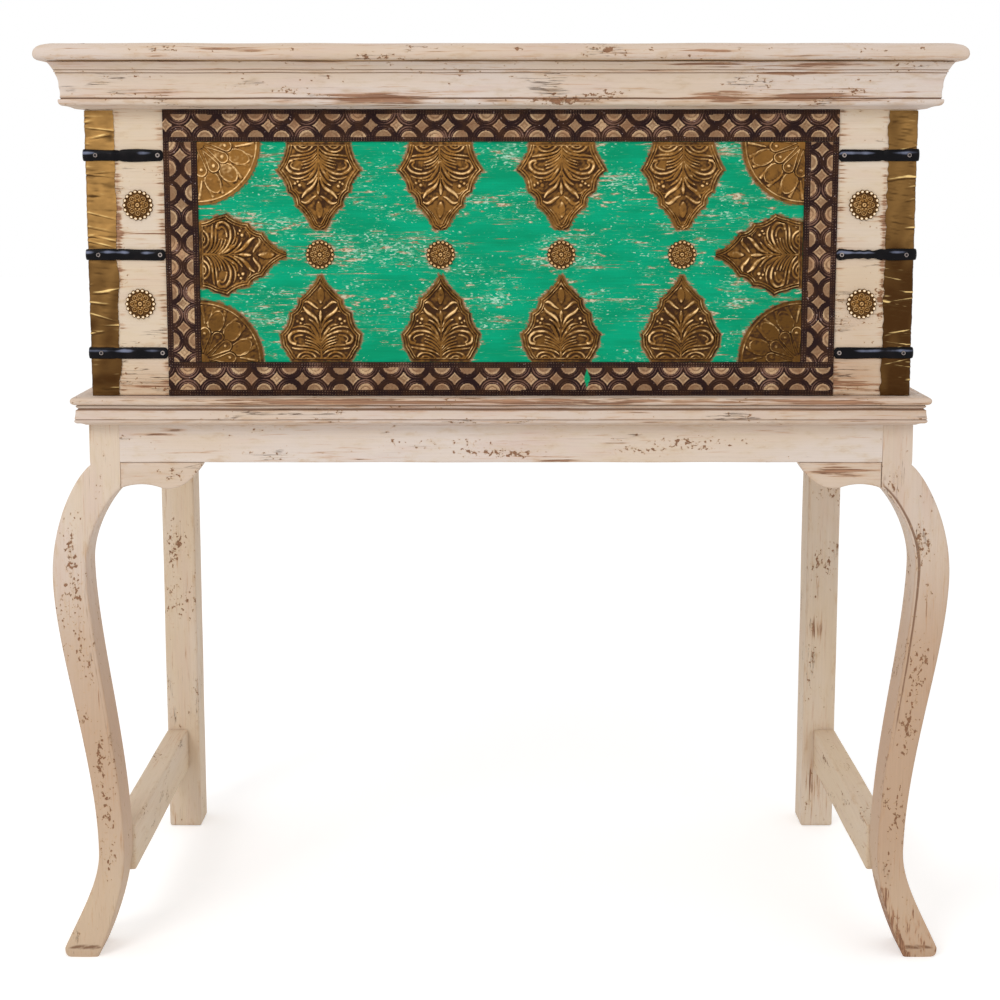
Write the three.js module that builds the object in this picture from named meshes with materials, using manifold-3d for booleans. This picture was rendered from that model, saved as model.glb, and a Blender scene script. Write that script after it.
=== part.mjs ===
// Painted wooden trunk on a low stand, with cabriole front legs, iron straps and embossed mounts.
// Millimetres, +Z up, front towards -Y. The origin is on the floor, at the middle of the footprint.
import * as THREE from 'three';
import { mergeVertices } from 'three/addons/utils/BufferGeometryUtils.js';
import Module from 'manifold-3d';

// Gap left between pieces that bear on each other
const clearance = 0.3;

// Trunk box: outer sizes of the boards
const boxWidth = 836;
const boxDepth = 448;
const boxHeight = 335.4;
const boardThickness = 20;
const floorThickness = 15;

// Lid slab, with its rounded nose, and the cornice below it
const lidThickness = 17;
const lidOverhang = 41;
const lidNoseWidth = 15.5;
const corniceHeight = 46;
const corniceOverhang = 30;

// Stand: the moulded top, the apron and the legs
const standHeight = 604;
const standTopThickness = 29;
const standTopOverhang = 20.5;
const apronHeight = 40;
const apronThickness = 22;
const legDepth = 48;
const postProud = 6;
const postWidth = 31;
const backLegWidth = 40;
const edgeRounding = 2;
const stretcherHeight = 51;
const stretcherThickness = 26;
const stretcherFloorGap = 77;

// Curve of a front leg: how far its outer and inner edges swing out past the post
const shoulderDrop = 3;
const kneeDrop = 118;
const kneeReach = 43;
const kneeThinning = 4.5;
const ankleHeight = 115;
const ankleReach = 4;
const ankleInset = 7.5;
const toeReach = 42;
const heelReach = 37.5;
const toeRadius = 5;
const kneeInnerDrop = 84;
const seamDrop = 27;

// Scrolled bracket between a front leg and the apron
const bracketLength = 86;
const bracketDepth = 27;
const bracketLobe = 43;
const bracketArch = 4;

// Sheet and strap metal on the front
const trimThickness = 2.2;
const trimTopWidth = 32;
const trimBottomWidth = 34.5;
const trimSideWidth = 34;
const trimInset = 78;
const claddingThickness = 1;
const claddingWidth = 28.5;
const strapThickness = 2.2;
const strapHeight = 12.5;
const strapPitch = 99.8;
const strapMiddle = 143.8;
const strapSideLength = 78;
const joggleLength = 2.4;

// Embossed leaves: sizes over their cusps, and their rows
const leafThickness = 3;
const leafBevel = 1;
const leafLength = 88;
const leafRootHalf = 33;
const leafHalfWidth = 44;
const leafScallop = 3;
const leafCount = 4;
const cornerLeafRadius = 63;

// Rosettes: the field row and the four on the end panels
const rosetteRadius = 13.5;
const rosetteHeight = 4.5;
const rosetteRim = 1.4;
const endRosetteInset = 51;

// Butt hinges on the back
const hingeWidth = 66;
const hingeSpacing = 500;
const hingeLeafThickness = 2.5;
const boxLeafHeight = 31;
const lidLeafMargin = 1.5;
const barrelRadius = 4.5;
const pinRadius = 2;
const boreRadius = 2.35;
const knuckleGap = 0.4;
const leafToBarrelGap = 0.5;
const barrelSides = 16;

// Heights and planes worked out from the sizes above
const legTop = standHeight - standTopThickness - clearance;
const apronBottom = legTop - apronHeight;
const boxBottom = standHeight + clearance;
const seam = boxBottom + boxHeight;
const corniceBottom = seam - corniceHeight;
const halfWidth = boxWidth / 2;
const postOuter = halfWidth + postProud;
const postInner = postOuter - postWidth;
const pinOffset = clearance + barrelRadius;
const strapSeat = clearance + claddingThickness + clearance;
const fieldHalf = halfWidth - trimInset - trimSideWidth;
const fieldBottom = boxBottom + trimBottomWidth;
const fieldTop = corniceBottom - clearance - trimTopWidth;
const fieldMiddle = boxBottom + strapMiddle;
const leafPitch = 2 * fieldHalf / (leafCount + 1);

function finish(color, roughness, metalness) {
  return new THREE.MeshStandardMaterial({ color, roughness, metalness });
}
const creamPaint = finish(0xe1d4c6, 0.75, 0);
const greenPaint = finish(0x05a073, 0.6, 0);
const bareWood = finish(0xa98a66, 0.85, 0);
const embossedTrim = finish(0x3c2d28, 0.55, 0.6);
const gildedBrass = finish(0x966e32, 0.45, 0.8);
const cladBrass = finish(0x9a7434, 0.4, 0.9);
const blackIron = finish(0x1e1c26, 0.45, 0.7);

// y = 0 in this group is the front face of the box, and y grows towards the back
const trunk = new THREE.Group();
const rearReach = pinOffset + barrelRadius;
trunk.position.y = (lidOverhang - boxDepth - rearReach) / 2;

function piece(name, geometry, material, x = 0, y = 0, z = 0) {
  const mesh = new THREE.Mesh(geometry, material);
  mesh.name = name;
  mesh.position.set(x, y, z);
  trunk.add(mesh);
  return mesh;
}

// Square board between two opposite corners
function board(name, material, low, high) {
  const size = high.map((value, i) => value - low[i]);
  const middle = high.map((value, i) => (value + low[i]) / 2);
  piece(name, new THREE.BoxGeometry(...size), material, ...middle);
}

// Upright plank cut to an outline in the XZ plane, its front face at y = 0
function plank(shape, depth, bevel = 0) {
  const geometry = new THREE.ExtrudeGeometry(shape, {
    depth: depth - 2 * bevel,
    curveSegments: 7,
    bevelEnabled: bevel > 0,
    bevelThickness: bevel,
    bevelSize: bevel,
    bevelOffset: -bevel,
    bevelSegments: 1,
  });
  geometry.translate(0, 0, bevel - depth);
  geometry.rotateX(Math.PI / 2);
  return geometry;
}

function outline(points) {
  return new THREE.Shape(points.map(([x, y]) => new THREE.Vector2(x, y)));
}

function meshFrom(positions, index) {
  const geometry = new THREE.BufferGeometry();
  geometry.setAttribute('position', new THREE.Float32BufferAttribute(positions, 3));
  geometry.setIndex(index);
  geometry.computeVertexNormals();
  return geometry;
}

function quad(a, b, c, d) {
  return [a, b, c, a, c, d];
}

// Board with one moulding run round its front and sides: every [overhang, height] of the profile,
// from the bottom up, is a rectangle, and the back edge stays flat
function mouldedBoard(profile) {
  const positions = [];
  const index = [];
  for (const [overhang, height] of profile) {
    const side = halfWidth + overhang;
    positions.push(-side, -overhang, height, side, -overhang, height);
    positions.push(side, boxDepth, height, -side, boxDepth, height);
  }
  for (let ring = 0; ring < profile.length - 1; ring += 1) {
    for (let corner = 0; corner < 4; corner += 1) {
      const next = (corner + 1) % 4;
      const low = 4 * ring;
      index.push(...quad(low + corner, low + next, low + 4 + next, low + 4 + corner));
    }
  }
  const last = 4 * (profile.length - 1);
  index.push(...quad(3, 2, 1, 0), ...quad(last, last + 1, last + 2, last + 3));
  return meshFrom(positions, index);
}

// Moulding of a closed section, mitred round the front and both sides of the box
function mitredMoulding(section) {
  const positions = [];
  const index = [];
  const count = section.length;
  for (const [overhang, height] of section) {
    const side = halfWidth + overhang;
    positions.push(-side, boxDepth, height, -side, -overhang, height);
    positions.push(side, -overhang, height, side, boxDepth, height);
  }
  for (let corner = 0; corner < count; corner += 1) {
    const low = 4 * corner;
    const high = 4 * ((corner + 1) % count);
    for (let run = 0; run < 3; run += 1) {
      index.push(...quad(low + run, low + run + 1, high + run + 1, high + run));
    }
  }
  const flat = section.map(([x, y]) => new THREE.Vector2(x, y));
  for (const [a, b, c] of THREE.ShapeUtils.triangulateShape(flat, [])) {
    index.push(4 * a, 4 * b, 4 * c, 4 * c + 3, 4 * b + 3, 4 * a + 3);
  }
  return meshFrom(positions, index);
}

// Stand

function frontLegShape(side) {
  const knee = apronBottom - shoulderDrop - kneeDrop;
  const shoulder = apronBottom - shoulderDrop;
  const innerSeam = apronBottom - seamDrop;
  const kneeInner = innerSeam - kneeInnerDrop;
  const kneeInnerReach = kneeReach - kneeThinning;
  const shape = new THREE.Shape();
  const outer = (reach) => side * (postOuter + reach);
  const inner = (reach) => side * (postInner + reach);
  shape.moveTo(inner(0), legTop);
  shape.lineTo(outer(0), legTop);
  shape.lineTo(outer(0), shoulder);
  shape.bezierCurveTo(outer(kneeReach * 0.37), shoulder - kneeDrop * 0.1,
    outer(kneeReach), knee + kneeDrop * 0.47, outer(kneeReach), knee);
  const shin = knee - ankleHeight;
  shape.bezierCurveTo(outer(kneeReach), knee - shin * 0.27,
    outer(ankleReach), ankleHeight + shin * 0.35, outer(ankleReach), ankleHeight);
  shape.bezierCurveTo(outer(ankleReach), ankleHeight * 0.7,
    outer(toeReach * 0.62), ankleHeight * 0.4, outer(toeReach), 2 * toeRadius);
  shape.quadraticCurveTo(outer(toeReach + 1), 0, outer(toeReach - toeRadius), 0);
  shape.lineTo(inner(heelReach), 0);
  shape.bezierCurveTo(inner(heelReach * 0.64), ankleHeight * 0.26,
    inner(ankleInset), ankleHeight * 0.65, inner(ankleInset), ankleHeight);
  const calf = kneeInner - ankleHeight;
  shape.bezierCurveTo(inner(ankleInset), ankleHeight + calf * 0.32,
    inner(kneeInnerReach), kneeInner - calf * 0.24, inner(kneeInnerReach), kneeInner);
  shape.bezierCurveTo(inner(kneeInnerReach), kneeInner + kneeInnerDrop * 0.37,
    inner(kneeInnerReach * 0.5), innerSeam - kneeInnerDrop * 0.2, inner(0), innerSeam);
  return shape;
}

function bracketShape(side) {
  const top = apronBottom - clearance;
  const foot = apronBottom - bracketDepth;
  const root = postInner - clearance;
  const tip = root - bracketLength;
  const shape = new THREE.Shape();
  shape.moveTo(side * root, top);
  shape.lineTo(side * root, foot);
  shape.quadraticCurveTo(side * (root - bracketLobe / 2), foot + 2 * bracketArch,
    side * (root - bracketLobe), foot);
  shape.quadraticCurveTo(side * (tip + bracketLobe * 0.42), foot - bracketArch, side * tip, top);
  return shape;
}

function buildStand() {
  const frontOfBackLegs = boxDepth - legDepth;
  for (const [side, hand] of [[-1, 'left'], [1, 'right']]) {
    const leg = plank(frontLegShape(side), legDepth, edgeRounding);
    piece(`front_leg_${hand}`, leg, creamPaint);

    const x = (reach) => side * (postOuter - reach);
    const backLeg = outline([
      [x(0), 0], [x(0), legTop], [x(backLegWidth), legTop], [x(backLegWidth), 0],
    ]);
    piece(`back_leg_${hand}`, plank(backLeg, legDepth, edgeRounding), creamPaint, 0, frontOfBackLegs, 0);

    const bracket = plank(bracketShape(side), apronThickness, edgeRounding / 2);
    piece(`knee_bracket_${hand}`, bracket, creamPaint);

    const across = (near, far) => [Math.min(x(near), x(far)), Math.max(x(near), x(far))];
    const [apronLow, apronHigh] = across(0, apronThickness);
    board(`apron_${hand}`, creamPaint,
      [apronLow, legDepth + clearance, apronBottom],
      [apronHigh, frontOfBackLegs - clearance, legTop]);
    const [railLow, railHigh] = across(0, stretcherThickness);
    board(`side_stretcher_${hand}`, creamPaint,
      [railLow, legDepth + clearance, stretcherFloorGap],
      [railHigh, frontOfBackLegs - clearance, stretcherFloorGap + stretcherHeight]);
  }
  const frontRun = postInner - clearance;
  board('apron_front', creamPaint, [-frontRun, 0, apronBottom], [frontRun, apronThickness, legTop]);
  const backRun = postOuter - backLegWidth - clearance;
  board('apron_back', creamPaint,
    [-backRun, boxDepth - apronThickness, apronBottom], [backRun, boxDepth, legTop]);

  const low = standHeight - standTopThickness;
  piece('stand_top', mouldedBoard([
    [standTopOverhang * 0.68, low],
    [standTopOverhang * 0.83, low + standTopThickness * 0.19],
    [standTopOverhang * 0.8, low + standTopThickness * 0.55],
    [standTopOverhang * 0.66, low + standTopThickness * 0.63],
    [standTopOverhang * 0.84, low + standTopThickness * 0.69],
    [standTopOverhang, low + standTopThickness * 0.83],
    [standTopOverhang * 0.88, standHeight],
  ]), creamPaint);
}

// Box and cornice

function buildBox() {
  board('front_board', greenPaint, [-halfWidth, 0, boxBottom], [halfWidth, boardThickness, seam]);
  board('back_board', bareWood,
    [-halfWidth, boxDepth - boardThickness, boxBottom], [halfWidth, boxDepth, seam]);
  const nearEnd = boardThickness + clearance;
  const farEnd = boxDepth - boardThickness - clearance;
  const inside = halfWidth - boardThickness;
  board('side_board_left', creamPaint, [-halfWidth, nearEnd, boxBottom], [-inside, farEnd, seam]);
  board('side_board_right', creamPaint, [inside, nearEnd, boxBottom], [halfWidth, farEnd, seam]);
  board('trunk_floor', bareWood,
    [-inside + clearance, nearEnd, boxBottom], [inside - clearance, farEnd, boxBottom + floorThickness]);

  const level = (share) => corniceBottom + corniceHeight * share;
  piece('cornice', mitredMoulding([
    [clearance, corniceBottom],
    [corniceOverhang * 0.52, corniceBottom],
    [corniceOverhang * 0.55, level(0.06)],
    [corniceOverhang * 0.65, level(0.1)],
    [corniceOverhang * 0.7, level(0.2)],
    [corniceOverhang * 0.67, level(0.27)],
    [corniceOverhang * 0.62, level(0.3)],
    [corniceOverhang * 0.66, level(0.5)],
    [corniceOverhang * 0.7, level(0.66)],
    [corniceOverhang * 0.79, level(0.76)],
    [corniceOverhang * 0.84, level(0.8)],
    [corniceOverhang, seam],
    [clearance, seam],
  ]), creamPaint);
}

// Lid slab, hinged at its flat back edge

function buildLid() {
  const low = seam + clearance;
  const level = (share) => low + lidThickness * share;
  piece('lid_board', mouldedBoard([
    [lidOverhang - lidNoseWidth * 0.2, low],
    [lidOverhang - lidNoseWidth * 0.03, level(0.2)],
    [lidOverhang, level(0.42)],
    [lidOverhang - lidNoseWidth * 0.16, level(0.7)],
    [lidOverhang - lidNoseWidth * 0.5, level(0.9)],
    [lidOverhang - lidNoseWidth, level(1)],
  ]), creamPaint);
}

// Hinges: each leaf is a plate joined to its knuckles, bored for the pin

const wasm = await Module();
wasm.setup();

function solidOf(geometry) {
  const bare = geometry.clone();
  bare.deleteAttribute('normal');
  bare.deleteAttribute('uv');
  const merged = mergeVertices(bare);
  return new wasm.Manifold(new wasm.Mesh({
    numProp: 3,
    vertProperties: merged.attributes.position.array,
    triVerts: merged.index.array,
  }));
}

function geometryOf(solid) {
  const mesh = solid.getMesh();
  return meshFrom(mesh.vertProperties, Array.from(mesh.triVerts));
}

// Cylinder along X about the pin's axis
function barrel(radius, from, to) {
  const geometry = new THREE.CylinderGeometry(radius, radius, to - from, barrelSides);
  geometry.rotateZ(Math.PI / 2);
  geometry.translate((from + to) / 2, 0, 0);
  return geometry;
}

function block(low, high) {
  const geometry = new THREE.BoxGeometry(high[0] - low[0], high[1] - low[1], high[2] - low[2]);
  geometry.translate((low[0] + high[0]) / 2, (low[1] + high[1]) / 2, (low[2] + high[2]) / 2);
  return geometry;
}

// The pin's axis is the origin here; the plate lies against the wood, from z = near to z = far
function hingeLeaf(near, far, knuckles) {
  const front = clearance - pinOffset;
  const back = front + hingeLeafThickness;
  const half = hingeWidth / 2;
  let leaf = solidOf(block([-half, front, Math.min(near, far)], [half, back, Math.max(near, far)]));
  for (const [from, to] of knuckles) {
    const web = block([from, front, Math.min(0, near)], [to, back, Math.max(0, near)]);
    leaf = leaf.add(solidOf(web)).add(solidOf(barrel(barrelRadius, from, to)));
  }
  return geometryOf(leaf.subtract(solidOf(barrel(boreRadius, -half - 1, half + 1))));
}

function buildHinges() {
  const half = hingeWidth / 2;
  const third = hingeWidth / 6;
  const plateStart = barrelRadius + leafToBarrelGap;
  const boxLeaf = hingeLeaf(-plateStart, -boxLeafHeight - plateStart,
    [[-half, -third - knuckleGap], [third + knuckleGap, half]]);
  const lidLeaf = hingeLeaf(plateStart, clearance + lidThickness - lidLeafMargin, [[-third, third]]);
  const y = boxDepth + pinOffset;
  for (const [side, hand] of [[-1, 'left'], [1, 'right']]) {
    const x = side * hingeSpacing / 2;
    piece(`hinge_${hand}_box_leaf`, boxLeaf, blackIron, x, y, seam);
    piece(`hinge_${hand}_lid_leaf`, lidLeaf, blackIron, x, y, seam);
    piece(`hinge_${hand}_pin`, barrel(pinRadius, -half, half), blackIron, x, y, seam);
  }
}

// Sheet brass and iron on the corners

function buildCorners() {
  const wrap = halfWidth - claddingWidth;
  const sheet = clearance + claddingThickness;
  const cladding = [
    [wrap, -clearance], [halfWidth + clearance, -clearance], [halfWidth + clearance, claddingWidth],
    [halfWidth + sheet, claddingWidth], [halfWidth + sheet, -sheet], [wrap, -sheet],
  ];
  const near = claddingWidth + clearance;
  const ramp = near + joggleLength;
  const start = halfWidth - trimInset + clearance;
  const low = clearance;
  const high = clearance + strapThickness;
  const raised = strapSeat + strapThickness;
  const strap = [
    [start, -low], [halfWidth - ramp, -low], [halfWidth - near, -strapSeat],
    [halfWidth + strapSeat, -strapSeat], [halfWidth + strapSeat, near], [halfWidth + low, ramp],
    [halfWidth + low, strapSideLength], [halfWidth + high, strapSideLength], [halfWidth + high, ramp],
    [halfWidth + raised, near], [halfWidth + raised, -raised], [halfWidth - near, -raised],
    [halfWidth - ramp, -high], [start, -high],
  ];
  const rows = [['upper', 1], ['middle', 0], ['lower', -1]];
  for (const [side, hand] of [[-1, 'left'], [1, 'right']]) {
    const mirrored = (points) => outline(points.map(([x, y]) => [side * x, y]));
    const upright = (points, depth) =>
      new THREE.ExtrudeGeometry(mirrored(points), { depth, bevelEnabled: false });
    piece(`corner_cladding_${hand}`, upright(cladding, corniceBottom - clearance - boxBottom),
      cladBrass, 0, 0, boxBottom);
    for (const [row, step] of rows) {
      piece(`strap_${hand}_${row}`, upright(strap, strapHeight),
        blackIron, 0, 0, fieldMiddle + step * strapPitch - strapHeight / 2);
    }
  }
}

// Embossed strips round the green field

function buildTrim() {
  const outer = halfWidth - trimInset;
  const front = -clearance - trimThickness;
  const strip = (name, x0, x1, z0, z1) =>
    board(name, embossedTrim, [x0, front, z0], [x1, -clearance, z1]);
  strip('trim_top', -outer, outer, fieldTop, corniceBottom - clearance);
  strip('trim_bottom', -outer, outer, boxBottom, fieldBottom);
  strip('trim_left', -outer, -fieldHalf, fieldBottom + clearance, fieldTop - clearance);
  strip('trim_right', fieldHalf, outer, fieldBottom + clearance, fieldTop - clearance);
}

// Leaf with three pairs of cusps and hollow edges between them, its root at the origin, tip up
function leafShape() {
  const cusps = [
    [leafRootHalf, 0], [leafHalfWidth, leafLength * 0.32], [leafHalfWidth * 0.73, leafLength * 0.57],
    [leafHalfWidth * 0.52, leafLength * 0.73], [leafHalfWidth * 0.09, leafLength],
  ];
  const shape = new THREE.Shape();
  shape.moveTo(...cusps[0]);
  const hollow = ([x0, y0], [x1, y1], side) => {
    const pull = 2 * leafScallop / Math.hypot(x1 - x0, y1 - y0);
    const x = (x0 + x1) / 2 - pull * Math.abs(y1 - y0);
    const y = (y0 + y1) / 2 - pull * Math.abs(x1 - x0);
    return [side * x, y];
  };
  for (let i = 1; i < cusps.length; i += 1) {
    shape.quadraticCurveTo(...hollow(cusps[i - 1], cusps[i], 1), ...cusps[i]);
  }
  for (let i = cusps.length - 1; i >= 0; i -= 1) {
    const [x, y] = cusps[i];
    const from = cusps[Math.min(i + 1, cusps.length - 1)];
    if (i === cusps.length - 1) shape.lineTo(-x, y);
    else shape.quadraticCurveTo(...hollow(cusps[i], from, -1), -x, y);
  }
  return shape;
}

function embossed(shape) {
  const geometry = new THREE.ExtrudeGeometry(shape, {
    depth: leafThickness - 2 * leafBevel,
    curveSegments: 4,
    bevelEnabled: true,
    bevelThickness: leafBevel,
    bevelSize: leafBevel,
    bevelOffset: -leafBevel,
    bevelSegments: 1,
  });
  geometry.translate(0, 0, leafBevel);
  return geometry;
}

function placeLeaf(name, geometry, x, z, turn) {
  const leaf = piece(name, geometry, gildedBrass, x, -clearance, z);
  leaf.rotation.set(Math.PI / 2, 0, 0);
  leaf.rotateZ(turn);
}

function buildLeaves() {
  const leaf = embossed(leafShape());
  const rowStart = -(leafCount - 1) / 2 * leafPitch;
  for (let i = 0; i < leafCount; i += 1) {
    const x = rowStart + i * leafPitch;
    placeLeaf(`leaf_top_${i + 1}`, leaf, x, fieldTop - clearance, Math.PI);
    placeLeaf(`leaf_bottom_${i + 1}`, leaf, x, fieldBottom + clearance, 0);
  }
  placeLeaf('leaf_side_left', leaf, -fieldHalf + clearance, fieldMiddle, -Math.PI / 2);
  placeLeaf('leaf_side_right', leaf, fieldHalf - clearance, fieldMiddle, Math.PI / 2);

  const quarter = new THREE.Shape();
  quarter.moveTo(0, 0);
  quarter.absarc(0, 0, cornerLeafRadius, 0, Math.PI / 2, false);
  quarter.lineTo(0, 0);
  const cornerLeaf = embossed(quarter);
  const edge = fieldHalf - clearance;
  placeLeaf('corner_leaf_lower_left', cornerLeaf, -edge, fieldBottom + clearance, 0);
  placeLeaf('corner_leaf_lower_right', cornerLeaf, edge, fieldBottom + clearance, Math.PI / 2);
  placeLeaf('corner_leaf_upper_right', cornerLeaf, edge, fieldTop - clearance, Math.PI);
  placeLeaf('corner_leaf_upper_left', cornerLeaf, -edge, fieldTop - clearance, -Math.PI / 2);
}

function buildRosettes() {
  const profile = [
    [0, 0], [rosetteRadius, 0], [rosetteRadius, rosetteRim],
    [rosetteRadius * 0.6, rosetteHeight * 0.7], [0, rosetteHeight],
  ].map(([radius, height]) => new THREE.Vector2(radius, height));
  const rosette = new THREE.LatheGeometry(profile, 12);
  const place = (name, x, z) => {
    piece(name, rosette, gildedBrass, x, -clearance, z).rotation.x = Math.PI;
  };
  const rowStart = -(leafCount - 1) / 2 * leafPitch;
  for (let i = 0; i < leafCount; i += 1) {
    place(`rosette_field_${i + 1}`, rowStart + i * leafPitch, fieldMiddle);
  }
  for (const [side, hand] of [[-1, 'left'], [1, 'right']]) {
    const x = side * (halfWidth - endRosetteInset);
    place(`rosette_${hand}_upper`, x, fieldMiddle + strapPitch / 2);
    place(`rosette_${hand}_lower`, x, fieldMiddle - strapPitch / 2);
  }
}

buildStand();
buildBox();
buildLid();
buildHinges();
buildCorners();
buildTrim();
buildLeaves();
buildRosettes();

const object = new THREE.Group();
object.add(trunk);
export default object;
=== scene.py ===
"""Looks of the painted trunk on its stand: worn cream paint, a green front, embossed brass, iron straps.

Shapes are worked out in millimetres in the part's own frame: x to the right, y to the back, z up.
"""
import math

import bpy
import numpy as np
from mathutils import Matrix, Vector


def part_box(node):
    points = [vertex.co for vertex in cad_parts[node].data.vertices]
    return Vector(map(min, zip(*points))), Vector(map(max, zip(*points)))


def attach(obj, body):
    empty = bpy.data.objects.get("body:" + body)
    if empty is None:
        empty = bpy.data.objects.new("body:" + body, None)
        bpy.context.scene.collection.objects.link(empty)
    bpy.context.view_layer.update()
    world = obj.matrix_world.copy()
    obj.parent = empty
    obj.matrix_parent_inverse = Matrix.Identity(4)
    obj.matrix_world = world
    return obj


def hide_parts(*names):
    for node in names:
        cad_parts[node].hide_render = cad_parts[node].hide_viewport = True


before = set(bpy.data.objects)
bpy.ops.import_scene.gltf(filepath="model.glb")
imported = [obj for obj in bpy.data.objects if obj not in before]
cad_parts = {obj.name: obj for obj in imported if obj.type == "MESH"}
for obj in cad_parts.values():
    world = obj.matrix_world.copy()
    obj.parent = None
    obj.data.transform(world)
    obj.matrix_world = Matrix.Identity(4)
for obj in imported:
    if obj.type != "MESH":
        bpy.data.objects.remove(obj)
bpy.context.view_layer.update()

MM = 0.001


def node_box(node):
    """Lowest and highest corner of a solid, in millimetres."""
    low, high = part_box(node)
    return np.array(low) / MM, np.array(high) / MM


# Planes and levels of the trunk, read from its solids

FRONT = node_box("front_board")[0][1]
BACK = node_box("back_board")[1][1]
HALF = node_box("front_board")[1][0]
SEAM = node_box("front_board")[1][2]
FIELD_HALF = node_box("trim_right")[0][0]
FIELD_BOTTOM = node_box("trim_bottom")[1][2]
FIELD_TOP = node_box("trim_top")[0][2]
FIELD_MIDDLE = (node_box("rosette_field_1")[0][2] + node_box("rosette_field_1")[1][2]) / 2
CORNICE_BOTTOM = node_box("cornice")[0][2]
STAND_LOW = node_box("stand_top")[0][2]
HANDS = (("left", -1), ("right", 1))
# How far paint reaches round a board's edge from its outer face
PAINT_REACH = {"front": 12, "side": 14}
# Width of the cladding on each side of a corner, and how far thin metal stands off the boards
CLAD_REACH = 28.5
STAND_OFF = 0.3


# Surfaces

def stacked(*parts):
    """One array of points or rows from arrays of their coordinates, stretched to one shape."""
    return np.stack(np.broadcast_arrays(*parts), axis=-1)


def on_axis(values, axis=0):
    """Points on one axis of the frame, for waves along a line."""
    points = np.zeros(values.shape + (3,))
    points[..., axis] = values
    return points


def drawn_in(ring, shares, middle, flat):
    """Copies of a ring drawn in to shares of their distance from a middle, along the axes flat marks."""
    return (ring - middle) * (1 + (shares[:, None, None] - 1) * np.array(flat)) + middle


def grid_quads(rows, columns, closed):
    """Corner numbers of the quads of a grid of points; a closed one joins its last column to its first."""
    row = np.arange(rows - 1)[:, None] * columns
    column = np.arange(columns if closed else columns - 1)[None, :]
    after = (column + 1) % columns
    corners = [row + column, row + after, row + columns + after, row + columns + column]
    return np.stack(corners, axis=-1).reshape(-1, 4)


def fan(ring, middle):
    """Triangles from each side of a closed ring of point numbers to one middle point."""
    return np.stack([np.full(len(ring), middle), np.roll(ring, -1), ring], axis=-1)


def skin(rings):
    """Closed surface: quads join each ring of points to the next, fans close the first and the last."""
    count, around = rings.shape[:2]
    points = np.concatenate([rings.reshape(-1, 3), rings[[0, -1]].mean(axis=1)])
    ring = np.arange(around)
    last = (count - 1) * around + ring
    faces = grid_quads(count, around, True).tolist()
    faces += fan(ring, count * around).tolist() + fan(last[::-1], count * around + 1).tolist()
    return points, faces


def plate(front, back_y):
    """Closed plate: a grid of front points, its border carried back to y = back_y and fanned shut."""
    rows, columns = front.shape[:2]
    number = np.arange(rows * columns).reshape(rows, columns)
    border = np.concatenate([number[0, :-1], number[:-1, -1], number[-1, :0:-1], number[:0:-1, 0]])
    points = front.reshape(-1, 3)
    behind = points[border].copy()
    behind[:, 1] = back_y
    ring = rows * columns + np.arange(len(border))
    middle = behind.mean(axis=0)[None]
    sides = np.stack([border, ring, np.roll(ring, -1), np.roll(border, -1)], axis=-1)
    faces = grid_quads(rows, columns, False).tolist() + sides.tolist()
    faces += fan(ring[::-1], rows * columns + len(border)).tolist()
    return np.concatenate([points, behind, middle]), faces


def waves(points, length, seed):
    """Slow unevenness in about -1..1: a mean of seven sines along seeded directions, length mm long."""
    draw = np.random.default_rng(seed)
    total = np.zeros(points.shape[:-1])
    for _ in range(7):
        direction = draw.normal(size=3)
        direction *= 2 * np.pi / (length * draw.uniform(0.6, 1.5) * np.linalg.norm(direction))
        total += np.sin(points @ direction + draw.uniform(0, 2 * np.pi))
    return total / 3.5


def uneven(points, amount, length, seed):
    """Points moved by slow waves, a little in every direction, as hand-planed wood is."""
    moved = [waves(points, length, seed + axis) for axis in range(3)]
    return points + amount * np.stack(moved, axis=-1)


def make(name, points, faces, finish, body="trunk", smooth=38, marks=None, grain=None, solid=None):
    """Piece from points and faces: faces turned outward, smooth up to an angle, with its marks stored. A
    finish is a material and the slot it belongs to; the slot is not used here."""
    material, slot = finish
    mesh = bpy.data.meshes.new(name)
    mesh.from_pydata((points * MM).tolist(), [], faces)
    mesh.calc_loop_triangles()
    corner = np.zeros(3 * len(mesh.loop_triangles), np.int32)
    mesh.loop_triangles.foreach_get("vertices", corner)
    a, b, c = (points[corner.reshape(-1, 3)[:, i]] for i in range(3))
    if np.einsum("ij,ij->i", a, np.cross(b, c)).sum() < 0:
        mesh.flip_normals()
    mesh.shade_smooth()
    mesh.set_sharp_from_angle(angle=math.radians(smooth))
    for key, values in (marks or {}).items():
        stored = mesh.attributes.new(key, "FLOAT", "POINT")
        stored.data.foreach_set("value", np.ascontiguousarray(values, np.float32).ravel())
    along = points if grain is None else grain
    stored = mesh.attributes.new("grain", "FLOAT_VECTOR", "POINT")
    stored.data.foreach_set("vector", np.ascontiguousarray(along, np.float32).ravel())
    mesh.materials.append(material)
    piece = bpy.data.objects.new(name, mesh)
    bpy.context.scene.collection.objects.link(piece)
    if solid:
        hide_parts(solid)
    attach(piece, body)


def filled(values, points, fill=0.0):
    """A mark from a grid's values, with one value for the points of the piece that come after them."""
    mark = np.full(len(points), fill, float)
    mark[:values.size] = values.ravel()
    return mark


def seed_of(name):
    """Number that stays the same for a piece's name."""
    return sum((i + 1) * ord(letter) for i, letter in enumerate(name))


def shifted(grain, seed):
    """Pattern coordinates moved far off, so no two pieces have the same figure."""
    return grain + np.random.default_rng(seed).uniform(-4000, 4000, 3)


def grain_of(points, axis, name):
    """Pattern coordinates in millimetres: first along the grain, then across, shifted for each piece."""
    order = [axis] + [i for i in range(3) if i != axis]
    return shifted(points[..., order], seed_of(name))


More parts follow.
